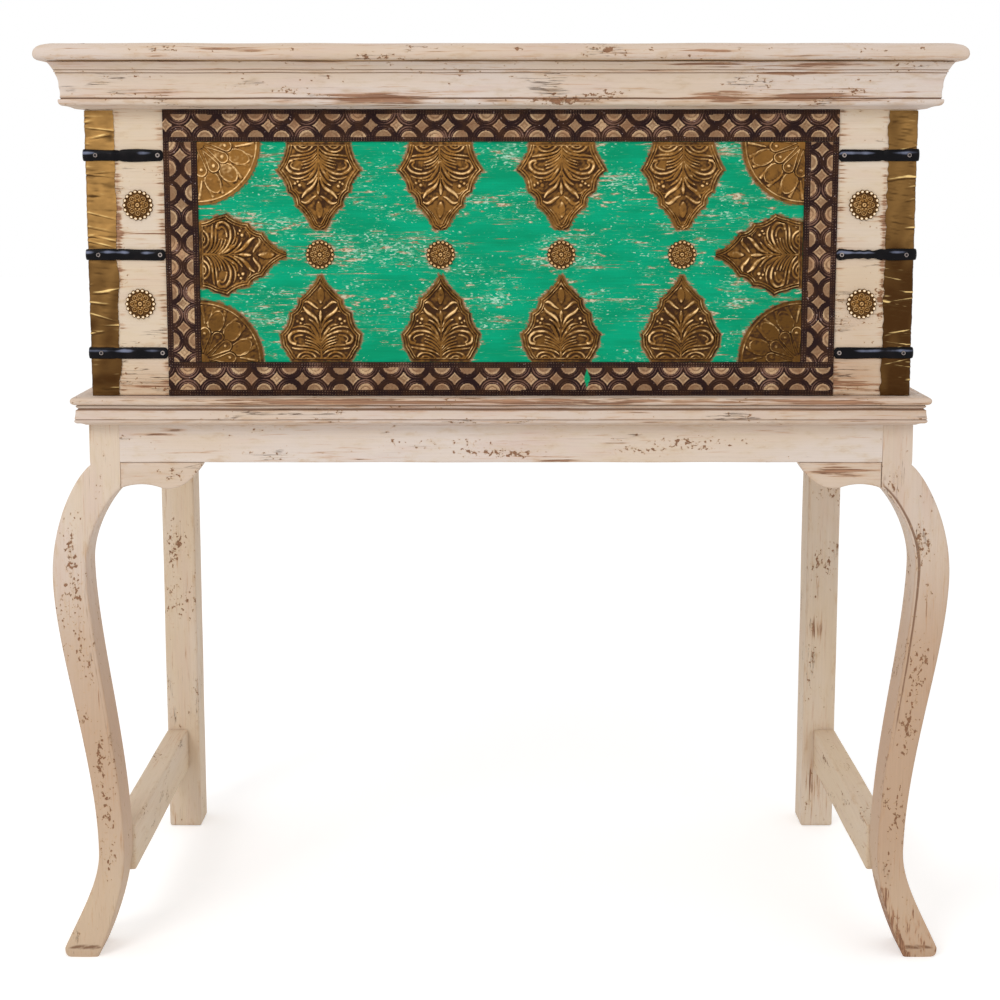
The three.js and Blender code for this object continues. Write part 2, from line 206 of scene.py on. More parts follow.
def dress(solid, points, faces, finish, axis=None, **looks):
    """Finished surface in the place of a solid and named for it, its grain along an axis of the frame."""
    if axis is not None:
        looks["grain"] = grain_of(points, axis, solid)
    make(solid + "_surface", points, faces, finish, solid=solid, **looks)


# Shader maths

class Wire:
    """A number in a material; Python's signs on it add Math nodes."""

    def __init__(self, finish, socket):
        self.finish = finish
        self.socket = socket

    def __add__(self, other):
        return self.finish.math("ADD", self, other)

    def __sub__(self, other):
        return self.finish.math("SUBTRACT", self, other)

    def __rsub__(self, other):
        return self.finish.math("SUBTRACT", other, self)

    def __mul__(self, other):
        return self.finish.math("MULTIPLY", self, other)

    __radd__ = __add__
    __rmul__ = __mul__


class Finish:
    """A material or world being made: nodes are added by node(), and close() ends a material. Patterns
    follow the piece's own grain, or on a carried-over solid the part's frame."""

    def __init__(self, holder, on_solid=False):
        self.holder = holder
        self.on_solid = on_solid
        holder.use_nodes = True
        self.tree = holder.node_tree
        self.tree.nodes.clear()

    def grain(self):
        """Where patterns are looked up, in millimetres."""
        if not self.on_solid:
            return self.node("ShaderNodeAttribute", {"attribute_name": "grain"}).outputs["Vector"]
        spot = self.node("ShaderNodeTexCoord").outputs["Object"]
        scaled = self.node("ShaderNodeVectorMath", {"operation": "SCALE"}, {"Vector": spot, "Scale": 1 / MM})
        return scaled.outputs[0]

    def seen(self):
        """1 for what the camera sees itself, in a reflection or through glass."""
        path = self.node("ShaderNodeLightPath").outputs
        shown = self.math("MAXIMUM", path["Is Camera Ray"], path["Is Glossy Ray"])
        return self.math("MAXIMUM", shown, path["Is Transmission Ray"])

    def node(self, kind, settings=(), values=()):
        """Adds a node: its settings first, then a number or a link for each socket named."""
        made = self.tree.nodes.new(kind)
        for key, value in dict(settings).items():
            if key == "stops":
                self.set_stops(made.color_ramp, value)
            else:
                setattr(made, key, value)
        for key, value in dict(values).items():
            socket = next(s for s in made.inputs if s.identifier == key)
            value = value.socket if isinstance(value, Wire) else value
            if isinstance(value, bpy.types.NodeSocket):
                self.tree.links.new(value, socket)
            else:
                socket.default_value = value
        return made

    def set_stops(self, ramp, stops):
        """Colours of a ramp at their places."""
        while len(ramp.elements) < len(stops):
            ramp.elements.new(1.0)
        for element, (place, colour) in zip(ramp.elements, stops):
            element.position = place
            element.color = colour

    def math(self, operation, *values):
        """Math node on numbers and wires."""
        keys = ("Value", "Value_001", "Value_002")
        made = self.node("ShaderNodeMath", {"operation": operation}, dict(zip(keys, values)))
        return Wire(self, made.outputs[0])

    def mark(self, name):
        """A number stored on the piece's points."""
        return Wire(self, self.node("ShaderNodeAttribute", {"attribute_name": name}).outputs["Fac"])

    def noise(self, size, detail=3.0, roughness=0.5, shift=0.0, distortion=0.0):
        """Clouds about 0.5, with blobs of the given sizes in millimetres along the grain and across it."""
        sizes = (size, size, size) if isinstance(size, (int, float)) else size
        place = self.node("ShaderNodeVectorMath", {"operation": "MULTIPLY_ADD"}, {
            "Vector": self.grain(), "Vector_001": [1 / s for s in sizes],
            "Vector_002": (shift, 1.7 * shift, 2.3 * shift)})
        cloud = self.node("ShaderNodeTexNoise", {}, {
            "Vector": place.outputs[0], "Scale": 1.0, "Detail": detail, "Roughness": roughness,
            "Distortion": distortion})
        return Wire(self, cloud.outputs[0])

    def step(self, value, start, end):
        """0 below start and 1 above end, with a soft rise between; start above end turns it round."""
        made = self.node("ShaderNodeMapRange", {"interpolation_type": "SMOOTHSTEP"}, {
            "Value": value, "From Min": start, "From Max": end})
        return Wire(self, made.outputs[0])

    def place(self):
        """x, y and z of the point in the part's frame, in metres."""
        spot = self.node("ShaderNodeTexCoord").outputs["Object"]
        split = self.node("ShaderNodeSeparateXYZ", {}, {"Vector": spot})
        return [Wire(self, socket) for socket in split.outputs]

    def blend(self, factor, first, second):
        """Colour between two colours."""
        made = self.node("ShaderNodeMix", {"data_type": "RGBA"}, {
            "Factor_Float": factor, "A_Color": first, "B_Color": second})
        return next(s for s in made.outputs if s.identifier == "Result_Color")

    def shade(self, colour, amount):
        """Colour made darker or lighter: each part times the amount."""
        made = self.node("ShaderNodeVectorMath", {"operation": "SCALE"}, {"Vector": colour, "Scale": amount})
        return made.outputs[0]

    def bump(self, height, depth):
        """Normal of a surface raised by height times depth millimetres."""
        return self.node("ShaderNodeBump", {}, {
            "Height": height, "Distance": depth * MM, "Strength": 1.0}).outputs[0]

    def close(self, values):
        """Principled surface from these sockets, and the finished material."""
        surface = self.node("ShaderNodeBsdfPrincipled", {}, values)
        self.node("ShaderNodeOutputMaterial", {}, {"Surface": surface.outputs[0]})
        return self.holder


def new_finish(name, on_solid=False):
    """Empty material to be filled."""
    return Finish(bpy.data.materials.new(name), on_solid)


def colour(red, green, blue):
    """Screen colour of 0..255 as the linear colour that nodes take."""
    parts = [c / 255 for c in (red, green, blue)]
    return [c / 12.92 if c <= 0.04045 else ((c + 0.055) / 1.055) ** 2.4 for c in parts] + [1.0]


# Finishes

def aged_wood(f):
    """Bare boards: brown streaks along the grain, darker pores. Gives colour and height."""
    cloud = f.noise((240, 26, 26), 3, 0.5, 3.1)
    figure = f.noise((420, 9, 9), 3, 0.55, 17.3, 0.8)
    streak = f.noise((90, 1.6, 1.6), 4, 0.6, 7.7)
    pores = f.step(f.noise((16, 0.8, 0.8), 2, 0.5, 9.2), 0.6, 0.7)
    stain = f.noise((70, 50, 50), 4, 0.6, 19.1)
    tone = f.blend(f.step(cloud, 0.3, 0.7), colour(132, 98, 68), colour(188, 152, 112))
    tone = f.blend(f.step(figure, 0.5, 0.66) * 0.6, tone, colour(116, 80, 52))
    tone = f.blend(f.step(streak, 0.4, 0.7) * 0.7, tone, colour(164, 126, 88))
    tone = f.blend(f.step(stain, 0.56, 0.7) * 0.4, tone, colour(96, 70, 50))
    tone = f.blend(pores * 0.6, tone, colour(70, 48, 32))
    return tone, streak - pores * 0.5


def cream_tone(f, ridge, drift, streak, mottle):
    """Colour of whole cream paint: it drifts between cream, yellow and pink, turns to ivory and tan where
    the marks of these names are high, is streaked along the grain, and is brown in hollows."""
    slow = f.noise((260, 70, 70), 2, 0.5, 1.3)
    tone = f.blend(f.step(slow, 0.35, 0.65), colour(221, 207, 197), colour(217, 197, 177))
    tone = f.blend(f.step(drift, 0.48, 0.7) * 0.65, tone, colour(213, 189, 177))
    tone = f.blend(f.step(mottle, 0.46, 0.7) * 0.4, tone, colour(209, 188, 158))
    tone = f.blend(f.mark("ivory"), tone, colour(224, 203, 164))
    tone = f.blend(f.mark("tan") * 0.85, tone, colour(191, 158, 130))
    tone = f.shade(tone, f.step(streak, 0.3, 0.65) * 0.05 + 0.965)
    hollow = f.step(ridge * -1 + (mottle - 0.5) * 0.8, 0.1, 0.8)
    tone = f.blend(hollow * 0.85, tone, colour(118, 82, 56))
    edge = f.step(mottle + ridge * 0.15, 0.6, 0.78)
    return f.blend(edge * 0.35, tone, colour(190, 150, 116))


def smears(f, tone, ridge, streak):
    """Brown smears along the grain where a long cloud and the mark rub are high, and bald wood with its
    fibres where they are highest. Gives colour and the share that is bald."""
    smear = f.noise((55, 2.4, 2.4), 4, 0.6, 4.4) + f.mark("rub") * 0.24 + ridge * 0.03
    tone = f.blend(f.step(smear, 0.6, 0.72) * 0.6, tone, colour(192, 148, 112))
    bald = f.step(smear, 0.71, 0.77)
    fibres = f.blend(f.step(streak, 0.4, 0.6), colour(118, 78, 54), colour(170, 124, 94))
    return f.blend(bald * 0.85, tone, fibres), bald


def chipped_spots(f, tone, ridge, gather):
    """Brown spots with a tan rim where a fine cloud, helped by the slow cloud gather and by the mark
    chips, passes a level. Gives colour and the share that is chipped."""
    fine = f.noise((4.8, 3.5, 3.5), 4, 0.6, 15.8)
    level = fine + (gather - 0.5) * 0.6 + f.mark("chips") * 0.15 + ridge * 0.02
    brown = f.blend(f.noise(4, 2, 0.5, 18.2), colour(86, 54, 36), colour(164, 114, 80))
    tone = f.blend(f.step(level, 0.66, 0.75) * 0.45, tone, colour(204, 166, 124))
    spots = f.step(level, 0.74, 0.77)
    return f.blend(spots * 0.9, tone, brown), spots


def hairlines(f, tone, drift, gather):
    """Grey veins along the grain in drifts, and dark cracks where a long cloud is near its middle value,
    wider and more of them where the mark cracks is high. Gives colour and the share that is cracked."""
    veins = f.step(f.noise((60, 1.1, 1.1), 3, 0.6, 40.9), 0.62, 0.72) * f.step(drift, 0.42, 0.62)
    tone = f.blend(veins * 0.45, tone, colour(140, 112, 92))
    middle = f.math("ABSOLUTE", f.noise((80, 3.0, 3.0), 3, 0.55, 12.4) - 0.5)
    split = f.mark("cracks")
    cracks = f.step(middle - split * 0.005, 0.012, 0.003) * f.step(gather + split * 0.16, 0.62, 0.7)
    return f.blend(cracks * 0.85, tone, colour(84, 52, 34)), cracks


def cream_layers(f):
    """Old cream paint, worn in smears, spots and cracks. Gives colour, the share worn through, and height
    of the paint."""
    ridge = f.mark("ridge")
    drift = f.noise((110, 24, 24), 3, 0.5, 5.9)
    streak = f.noise((110, 1.4, 1.4), 4, 0.65, 2.7)
    mottle = f.noise((24, 7, 7), 4, 0.6, 8.3)
    gather = f.noise((60, 16, 16), 2, 0.5, 6.1)
    tone = cream_tone(f, ridge, drift, streak, mottle)
    tone, bald = smears(f, tone, ridge, streak)
    tone, spots = chipped_spots(f, tone, ridge, gather)
    tone, cracks = hairlines(f, tone, drift, gather)
    worn = f.math("MAXIMUM", bald, f.math("MAXIMUM", spots, cracks))
    return tone, worn, streak * 0.3 + mottle * 0.3 - worn * 0.9


def cream_paint():
    """Cream paint on the outside, bare wood where the piece's mark says bare."""
    f = new_finish("cream paint")
    tone, worn, height = cream_layers(f)
    wood, pores = aged_wood(f)
    bare = f.mark("bare")
    height = f.math("MULTIPLY_ADD", bare, pores - height, height)
    return f.close({
        "Base Color": f.blend(bare, tone, wood), "Roughness": worn * 0.2 + 0.6,
        "Specular IOR Level": 0.3, "Normal": f.bump(height, 0.35)})


def bare_wood():
    """Aged boards of the inside and the back."""
    f = new_finish("bare wood")
    wood, pores = aged_wood(f)
    return f.close({"Base Color": wood, "Roughness": 0.78, "Normal": f.bump(pores, 0.3)})


def green_layers(f):
    """Green paint of the field. Gives colour, the share worn through, and height of the paint.

    Fine pale dashes and specks gather in drifts and where the mark wear is high. Long scratches run along
    the grain, tan at their edges and pale in their middle. Near the ornaments, where the mark halo is
    high, brown wood shows.
    """
    cloud = f.noise((60, 22, 22), 3, 0.5, 21.5)
    brush = f.noise((55, 1.8, 1.8), 4, 0.6, 23.9)
    gather = f.noise((62, 26, 26), 2, 0.5, 25.1)
    drift = f.noise((34, 9, 9), 2, 0.5, 34.7)
    tone = f.blend(f.step(cloud, 0.35, 0.68), colour(0, 148, 104), colour(0, 164, 120))
    tone = f.shade(tone, f.step(brush, 0.3, 0.75) * 0.16 + 0.9)
    wear = f.mark("wear")
    near = (gather - 0.5) * 0.4 + (drift - 0.5) * 0.35 + wear * 0.035
    dash = f.noise((7.0, 1.1, 1.1), 3, 0.6, 27.3) + near
    tone = f.blend(f.step(dash, 0.6, 0.71) * 0.5, tone, colour(146, 210, 176))
    speck = f.noise((4.0, 1.6, 1.6), 2, 0.5, 29.9)
    tone = f.blend(f.step(speck + near, 0.675, 0.72) * 0.8, tone, colour(184, 220, 196))
    halo = f.mark("halo")
    scratch = f.noise((46, 1.7, 1.7), 4, 0.6, 31.7) + (drift - 0.5) * 0.35 + halo * 0.1 + wear * 0.02
    patch = f.noise((17, 4.0, 4.0), 4, 0.62, 37.1) + (gather - 0.5) * 0.35 + halo * 0.2 + wear * 0.04
    level = f.math("MAXIMUM", scratch, patch)
    tone = f.blend(f.step(level, 0.6, 0.68) * 0.5, tone, colour(96, 162, 116))
    through = f.step(level, 0.66, 0.7)
    pale = f.step(speck + (level - 0.66) * 0.8, 0.48, 0.6)
    under = f.blend(pale, colour(160, 130, 98), colour(212, 198, 170))
    tone = f.blend(through * 0.92, tone, under)
    rim = f.step(halo + (speck - 0.5) * 0.7, 0.45, 0.7)
    tone = f.blend(rim * 0.85, tone, colour(142, 100, 64))
    return tone, through, brush * 0.3 - f.math("MAXIMUM", through, rim) * 0.8


def front_paint():
    """Green field, cream end panels, bare wood behind."""
    f = new_finish("front paint")
    tone, worn, height = cream_layers(f)
    paint, through, paint_height = green_layers(f)
    wood, pores = aged_wood(f)
    x, y, z = f.place()
    margin = 4
    inside_x = f.step(f.math("ABSOLUTE", x), (FIELD_HALF + margin) * MM, (FIELD_HALF + margin - 1) * MM)
    low = f.step(z, (FIELD_BOTTOM - margin) * MM, (FIELD_BOTTOM - margin + 1) * MM)
    high = f.step(z, (FIELD_TOP + margin) * MM, (FIELD_TOP + margin - 1) * MM)
    green = inside_x * low * high
    edge = FRONT + PAINT_REACH["front"]
    bare = f.step(y, edge * MM, (edge + 1) * MM)
    tone = f.blend(green, tone, paint)
    height = f.math("MULTIPLY_ADD", green, paint_height - height, height)
    height = f.math("MULTIPLY_ADD", bare, pores - height, height)
    return f.close({
        "Base Color": f.blend(bare, tone, wood), "Roughness": f.math("MAXIMUM", worn, through) * 0.2 + 0.6,
        "Specular IOR Level": 0.08, "Normal": f.bump(height, 0.3)})


def embossed_trim():
    """Dark embossed sheet: tone 0 is the dark ring, 1 the tan discs and diamonds."""
    f = new_finish("embossed trim")
    tone = f.mark("tone")
    raised = f.mark("raise")
    cloud = f.noise(16, 4, 0.6, 2.2)
    grit = f.noise(1.6, 3, 0.6, 6.6)
    fleck = f.noise(2.4, 2, 0.5, 9.3)
    dark = f.blend(f.step(cloud, 0.4, 0.65), colour(36, 18, 17), colour(56, 33, 20))
    # Ridges of the dark rings are lightened by the brightness mark, which carries a painted highlight on
    # high parts and upper flanks.
    dark = f.blend(f.step(raised + (grit - 0.5) * 0.9, 0.6, 1.2) * 0.85, dark, colour(130, 96, 80))
    dark = f.blend(f.step(fleck + raised * 0.06, 0.72, 0.78) * 0.8, dark, colour(176, 152, 146))
    light = f.blend(f.step(cloud, 0.35, 0.7), colour(204, 172, 134), colour(178, 136, 102))
    light = f.blend(f.step(grit, 0.46, 0.7) * 0.7, light, colour(128, 92, 62))
    # Low parts of the discs and diamonds are darkened by the same mark: painted shade.
    light = f.blend(f.step(raised, 0.75, 0.35) * 0.7, light, colour(112, 78, 52))
    shown = f.blend(f.step(tone, 0.2, 0.7), dark, light)
    smear_x, smear_z = SMEAR
    x, _, z = f.place()
    near = f.math("ABSOLUTE", x - smear_x * MM) * 0.45 + f.math("ABSOLUTE", z - smear_z * MM) * 0.16
    smear = f.step(near + (grit - 0.5) * 0.0012, 0.0018, 0.0012)
    shown = f.blend(smear, shown, colour(6, 150, 100))
    return f.close({
        "Base Color": shown, "Metallic": f.step(tone, 0.5, 0.1) * 0.4, "Roughness": grit * 0.3 + 0.4,
        "Specular IOR Level": 0.15, "Normal": f.bump(grit, 0.12)})


def sheet_brass(name, dark, body, bright, tarnished_and_shaded, stain_size, line_size):
    """Aged sheet brass: dark in its hollows, bright on its ridges, with stains, fine lines and dents; the
    hollows and ridges come from a brightness mark that holds rubbing of the relief together with painted
    highlights and painted shade. A second mark says how far a piece is darkened towards tarnish, partly
    tarnish and partly painted shade. Where the brightness mark is over 2, it holds pale paint."""
    f = new_finish(name)
    raised = f.mark("raise")
    stain = f.noise(stain_size, 4, 0.6, 1.9)
    grit = f.noise(line_size, 4, 0.62, 5.3)
    level = raised + (grit - 0.5) * 0.3 + (stain - 0.5) * 0.3
    body = f.blend(f.step(stain, 0.35, 0.7) * 0.35, body, dark)
    # Darkened towards the tarnish colour by the second mark: tarnish, and between pieces painted shade.
    tone = f.blend(f.mark("dull"), body, tarnished_and_shaded)
    tone = f.blend(f.step(level, 0.02, 0.4), dark, tone)
    tone = f.blend(f.step(level, 0.55, 1.05) * 0.9, tone, bright)
    tone = f.blend(f.step(raised, 2.0, 2.8), tone, colour(246, 234, 214))
    return f.close({
        "Base Color": tone, "Metallic": 0.8, "Roughness": grit * 0.25 + 0.34,
        "Normal": f.bump(grit * 0.6 + stain * 0.4, 0.25)})


def black_iron(name, on_solid=False):
    """Forged iron under black paint: blue-black, brown in places, with a pale bluish painted highlight where
    its brightness mark is high.
    """
    f = new_finish(name, on_solid)
    cloud = f.noise(18, 3, 0.5, 3.3)
    grit = f.noise(2.5, 4, 0.6, 7.9)
    tone = f.blend(f.step(cloud, 0.42, 0.7), colour(6, 5, 8), colour(18, 14, 16))
    tone = f.blend(f.step(f.mark("raise") + (cloud - 0.5) * 1.3, 0.45, 1.15), tone, colour(120, 126, 148))
    tone = f.blend(f.step(grit, 0.66, 0.8) * 0.4, tone, colour(84, 60, 50))
    return f.close({
        "Base Color": tone, "Roughness": grit * 0.3 + 0.3, "Specular IOR Level": 0.1,
        "Normal": f.bump(cloud * 0.8 + grit * 0.2, 0.7)})


def nail_steel():
    """Greyed nail head: light rim, dark where the mark is low."""
    f = new_finish("nail steel")
    raised = f.mark("raise")
    grit = f.noise(1.5, 3, 0.6, 4.1)
    tone = f.blend(f.step(raised + (grit - 0.5) * 0.4, 0.2, 0.8), colour(38, 32, 34), colour(176, 164, 158))
    return f.close({"Base Color": tone, "Metallic": 0.5, "Roughness": 0.45, "Normal": f.bump(grit, 0.1)})


# Green paint smeared over the bottom strip, as x and z in millimetres
SMEAR = (88.0, 622.0)

CREAM = cream_paint(), "cream_paint"
FRONT_PAINT = front_paint(), "front_paint"
WOOD = bare_wood(), "bare_wood"
TRIM = embossed_trim(), "embossed_trim"
LEAF_BRASS = sheet_brass(
    "gilded brass", colour(58, 33, 12), colour(142, 98, 42), colour(234, 194, 136),
    colour(92, 60, 16), 20, 2.0), "gilded_brass"
CLAD_BRASS = sheet_brass(
    "corner brass", colour(74, 48, 14), colour(172, 130, 72), colour(238, 204, 136),
    colour(66, 37, 0), 40, (0.9, 11, 11)), "clad_brass"
IRON = black_iron("black iron"), "black_iron"
HINGE_IRON = black_iron("hinge iron", on_solid=True)
NAIL = nail_steel(), "black_iron"


# Wear of the cream paint

# Patches worn most in the front view, by piece and kind of wear: x, z, half length, half height, amount
WEAR = {
    ("back_leg_left", "chips"): [(-408, 370, 20, 26, 1.5), (-408, 295, 20, 34, 0.9)],
    ("back_leg_right", "chips"): [(400, 350, 14, 24, 1.4), (408, 437, 14, 12, 1.2)],
    ("back_leg_right", "rub"): [(398, 258, 10, 14, 1.0), (400, 60, 14, 50, 0.7)],
    ("knee_bracket_left", "chips"): [(-340, 525, 24, 10, 0.6)],
    ("knee_bracket_right", "rub"): [(350, 526, 36, 7, 1.3)],
    ("front_leg_right", "chips"): [(385, 560, 10, 8, 0.6)],
    ("front_board", "tan"): [
        (-362, 760, 60, 220, 0.12), (362, 690, 40, 60, 0.45), (362, 625, 40, 22, 0.8),
        (-362, 620, 40, 16, 0.5), (362, 790, 40, 30, 0.2)],
    ("front_board", "rub"): [
        (362, 640, 26, 8, 0.5), (-365, 771, 28, 2.5, 1.0), (-362, 616, 24, 7, 0.8),
        (-388, 775, 5, 45, 1.0), (362, 616, 26, 8, 1.2), (388, 760, 4, 60, 0.9)],
    ("lid_board", "rub"): [(-254, 950, 42, 2.2, 1.1), (210, 949, 42, 1.4, 1.0)],
    ("lid_board", "chips"): [
        (-200, 950, 14, 3, 1.1), (17, 951, 7, 3, 1.7), (106, 951, 6, 2, 1.2), (148, 951, 6, 2, 1.5),
        (412, 951, 8, 3, 1.2)],
    ("cornice", "cracks"): [(-395, 918, 45, 8, 1.2), (-80, 921, 18, 5, 1.0), (45, 915, 34, 9, 1.5)],
    ("cornice", "rub"): [
        (-345, 909, 48, 3, 0.9), (-140, 905, 45, 5, 1.2), (-100, 900, 32, 4, 1.1),
        (-75, 908, 55, 1.6, 0.9), (60, 903, 50, 3, 0.7), (210, 905, 36, 5, 1.0), (205, 936, 36, 3, 0.8),
        (320, 936, 58, 3, 1.1), (290, 928, 66, 2, 0.9), (300, 906, 58, 6, 1.35)],
    ("cornice", "chips"): [
        (-210, 911, 18, 3, 1.3), (-393, 900, 12, 3, 1.2), (65, 902, 60, 5, 1.0), (112, 909, 14, 4, 1.2),
        (350, 912, 14, 4, 1.3)],
    ("stand_top", "rub"): [(-190, 600, 115, 4, 1.0), (60, 600, 190, 4, 1.0), (330, 600, 70, 3, 1.1)],
    ("stand_top", "cracks"): [(-225, 588, 45, 5, 1.7), (222, 584, 34, 4, 1.5), (385, 594, 30, 6, 1.2)],
    ("stand_top", "tan"): [(410, 592, 50, 14, 0.35)],
    ("stand_top", "chips"): [(-230, 582, 50, 3, 0.6)],
    ("apron_front", "chips"): [
        (-115, 556, 12, 4, 1.3), (-35, 558, 35, 5, 1.3), (-5, 544, 40, 6, 1.4), (150, 547, 36, 4, 1.1),
        (200, 555, 46, 5, 1.4)],
    ("apron_front", "rub"): [(72, 537, 30, 2, 1.3), (-340, 566, 22, 5, 0.8)],
    ("front_board", "cracks"): [
        (-365, 771, 25, 4, 1.5), (-362, 669, 25, 7, 1.4), (-362, 624, 28, 10, 1.5),
        (362, 632, 28, 13, 1.6), (362, 739, 25, 4, 1.3)],
    ("front_board", "chips"): [(-384, 722, 5, 6, 2.0), (386, 702, 5, 24, 1.9)],
}


def patches(points, spots):
    """Sum of soft round patches in x and z."""
    total = np.zeros(len(points))
    for x, z, length, height, amount in spots:
        gap = ((points[:, 0] - x) / length) ** 2 + ((points[:, 2] - z) / height) ** 2
        total += amount * np.exp(-gap)
    return total


def wear_marks(name, points, ridge, tan=0.0, chips=0.0, rub=0.0, ivory=0.0, more=None):
    """Marks of a painted piece: its edges, how tan and how ivory it is, and its wear, to which come the
    patches of WEAR near its front and what the function more gives for its points."""
    marks = {"ridge": ridge, "tan": tan, "ivory": ivory, "chips": chips, "rub": rub, "cracks": 0.0}
    marks = {key: np.zeros(len(points)) + value for key, value in marks.items()}
    front = points[:, 1] < points[:, 1].min() + 20
    for kind in marks:
        marks[kind] += front * patches(points, WEAR.get((name, kind), []))
    for key, values in (more(points) if more else {}).items():
        marks[key] = marks.get(key, 0) + values
    return marks


# Boards and beams

def rounded_section(flats, steps=4):
    """Rounded rectangle in unit form: a ring of rows (u, v, c, s), where a point lies at
    ((half width - radius) u + radius c, (half depth - radius) v + radius s). Flats give how many
    points each side has, crowded towards the edges."""
    rows = []
    turns = np.linspace(0, np.pi / 2, steps)
    corners = [(1, 1), (-1, 1), (-1, -1), (1, -1)]
    for side, (u, v) in enumerate(corners):
        angle = turns + side * np.pi / 2
        rows += [(u, v, math.cos(a), math.sin(a)) for a in angle]
        after_u, after_v = corners[(side + 1) % 4]
        share = (1 - np.cos(np.linspace(0, np.pi, flats[side] + 2)[1:-1])) / 2
        end = angle[-1]
        rows += [(u + (after_u - u) * k, v + (after_v - v) * k, math.cos(end), math.sin(end)) for k in share]
    return np.array(rows)


def edge_closeness(points, low, high, reach):
    """1 on the edges of a box and falling off over its faces: from the second least distance to a face."""
    away = np.sort(np.minimum(points - low, high - points).clip(0), axis=-1)
    return np.exp(-away[..., 1] / reach)


def beam_stations(half_length, radius, spacing, joined):
    """Where a board's rings lie along it, from its middle, and how far each ring is drawn in."""
    bend = np.linspace(0, np.pi / 2, 4)
    inner = half_length - radius
    run = np.linspace(-inner, inner, max(3, int(2 * inner / spacing)))[1:-1]
    past_end = inner + radius * np.cos(bend)
    drawn_end = radius * (1 - np.sin(bend))
    station = np.concatenate([-past_end, run, past_end[::-1]])
    drawn = np.concatenate([drawn_end, run * 0, drawn_end[::-1]])
    if joined:
        return station * (1 + 0.3 / half_length), drawn * 0.1
    return station, drawn


def beam(name, axis, finish, radius, spacing, flats, joined=False, **wear):
    """Worn board in the place of a solid: rings of a rounded section carried along one axis, drawn in
    over the last radius at each end, then moved a little by slow waves. Joined ends stay square."""
    low, high = node_box(name)
    half = (high - low) / 2
    section = rounded_section(flats)
    station, drawn = beam_stations(half[axis], radius, spacing, joined)
    rings = np.zeros((len(station), len(section), 3))
    rings[..., axis] = station[:, None]
    for column, i in enumerate(i for i in range(3) if i != axis):
        edge = (half[i] - radius) * section[:, column] + radius * section[:, 2 + column]
        rings[..., i] = edge - drawn[:, None] * np.sign(edge) * np.minimum(1, np.abs(edge) / half[i])
    points, faces = skin(rings + (low + high) / 2)
    beyond = np.zeros(3)
    beyond[axis] = 50.0 if joined else 0.0
    ridge = edge_closeness(points, low - beyond, high + beyond, 3.0)
    points = uneven(points, 0.16, 120, seed_of(name))
    dress(name, points, faces, finish, axis, marks=wear_marks(name, points, ridge, **wear))


def build_boards():
    """Boards of the box: the ends are painted outside and bare inside."""
    for hand, side in HANDS:
        beam(f"side_board_{hand}", 1, CREAM, 2.0, 5, (4, 20, 4, 20), chips=0.1,
             more=lambda p, s=side: {"bare": s * p[:, 0] < HALF - PAINT_REACH["side"]})
    beam("back_board", 0, WOOD, 2.0, 8, (8, 30, 8, 30))
    beam("trunk_floor", 0, WOOD, 2.0, 8, (30, 4, 30, 4))


def build_stand_rails():
    """Aprons, stretchers and back legs."""
    beam("apron_front", 0, CREAM, 1.2, 4, (6, 10, 6, 10), joined=True, chips=0.05)
    beam("apron_back", 0, CREAM, 1.2, 6, (4, 8, 4, 8), tan=0.3)
    for hand, _ in HANDS:
        beam(f"apron_{hand}", 1, CREAM, 1.2, 5, (4, 10, 4, 10), tan=0.2)
        beam(f"side_stretcher_{hand}", 1, CREAM, 2.5, 5, (6, 12, 6, 12), tan=0.25, ivory=0.5, chips=0.3)
        beam(f"back_leg_{hand}", 2, CREAM, 2.5, 5, (10, 10, 10, 10), tan=0.16, ivory=0.35, chips=0.1)


# Mouldings round the front and the sides

def profile(corners, steps=7):
    """Section through (overhang, height, bulge) corners: each stretch is a parabola whose middle stands
    off its chord by the bulge given at its end, outward when positive."""
    parts = []
    share = np.linspace(0, 1, steps, endpoint=False)[:, None]
    for (x0, z0, _), (x1, z1, bulge) in zip(corners, corners[1:]):
        chord = np.array([x1 - x0, z1 - z0])
        outward = np.array([chord[1], -chord[0]]) / np.hypot(*chord)
        parts.append(np.array([x0, z0]) + share * chord + 4 * share * (1 - share) * bulge * outward)
    return np.concatenate(parts + [np.array([corners[-1][:2]])])


def convexity(section, reach=2.5):
    """How far each point of a section stands out from the blurred section, in -1..1: edges are
    positive and hollows negative."""
    gap = np.linalg.norm(section[:, None] - section[None], axis=-1)
    weight = np.exp(-(gap / reach) ** 2)
    blurred = (weight @ section) / weight.sum(axis=1, keepdims=True)
    tangent = np.gradient(section, axis=0)
    outward = np.stack([tangent[:, 1], -tangent[:, 0]], axis=-1)
    outward /= np.linalg.norm(outward, axis=1, keepdims=True) + 1e-9
    return np.clip(((section - blurred) * outward).sum(axis=1) / 0.55, -1, 1)


def way_round(corner_radius, front_steps=300, side_steps=150):
    """Stations from the back of the left side, round the front, to the back of the right side: rows
    (x, y, dx, dy, along), where an overhang o puts the point at (x + o dx, y + o dy)."""
    r = corner_radius
    back = np.linspace(1, 0, side_steps)
    side_y = (1 - back) * (FRONT + r) + back * BACK
    left = stacked(-HALF, side_y, -1.0, back - 1, FRONT - side_y - HALF)
    angle = np.linspace(0, np.pi / 2, 6)[1:-1]
    bend = stacked(-HALF + r - r * np.cos(angle), FRONT + r - r * np.sin(angle), -1.0, -1.0, -HALF)
    s = np.linspace(-1, 1, front_steps)
    front = stacked(s * (HALF - r), FRONT, s, -1.0, s * HALF)
    mirrored = np.concatenate([left, bend])[::-1] * [-1, 1, -1, 1, -1]
    return np.concatenate([left, bend, front, mirrored])


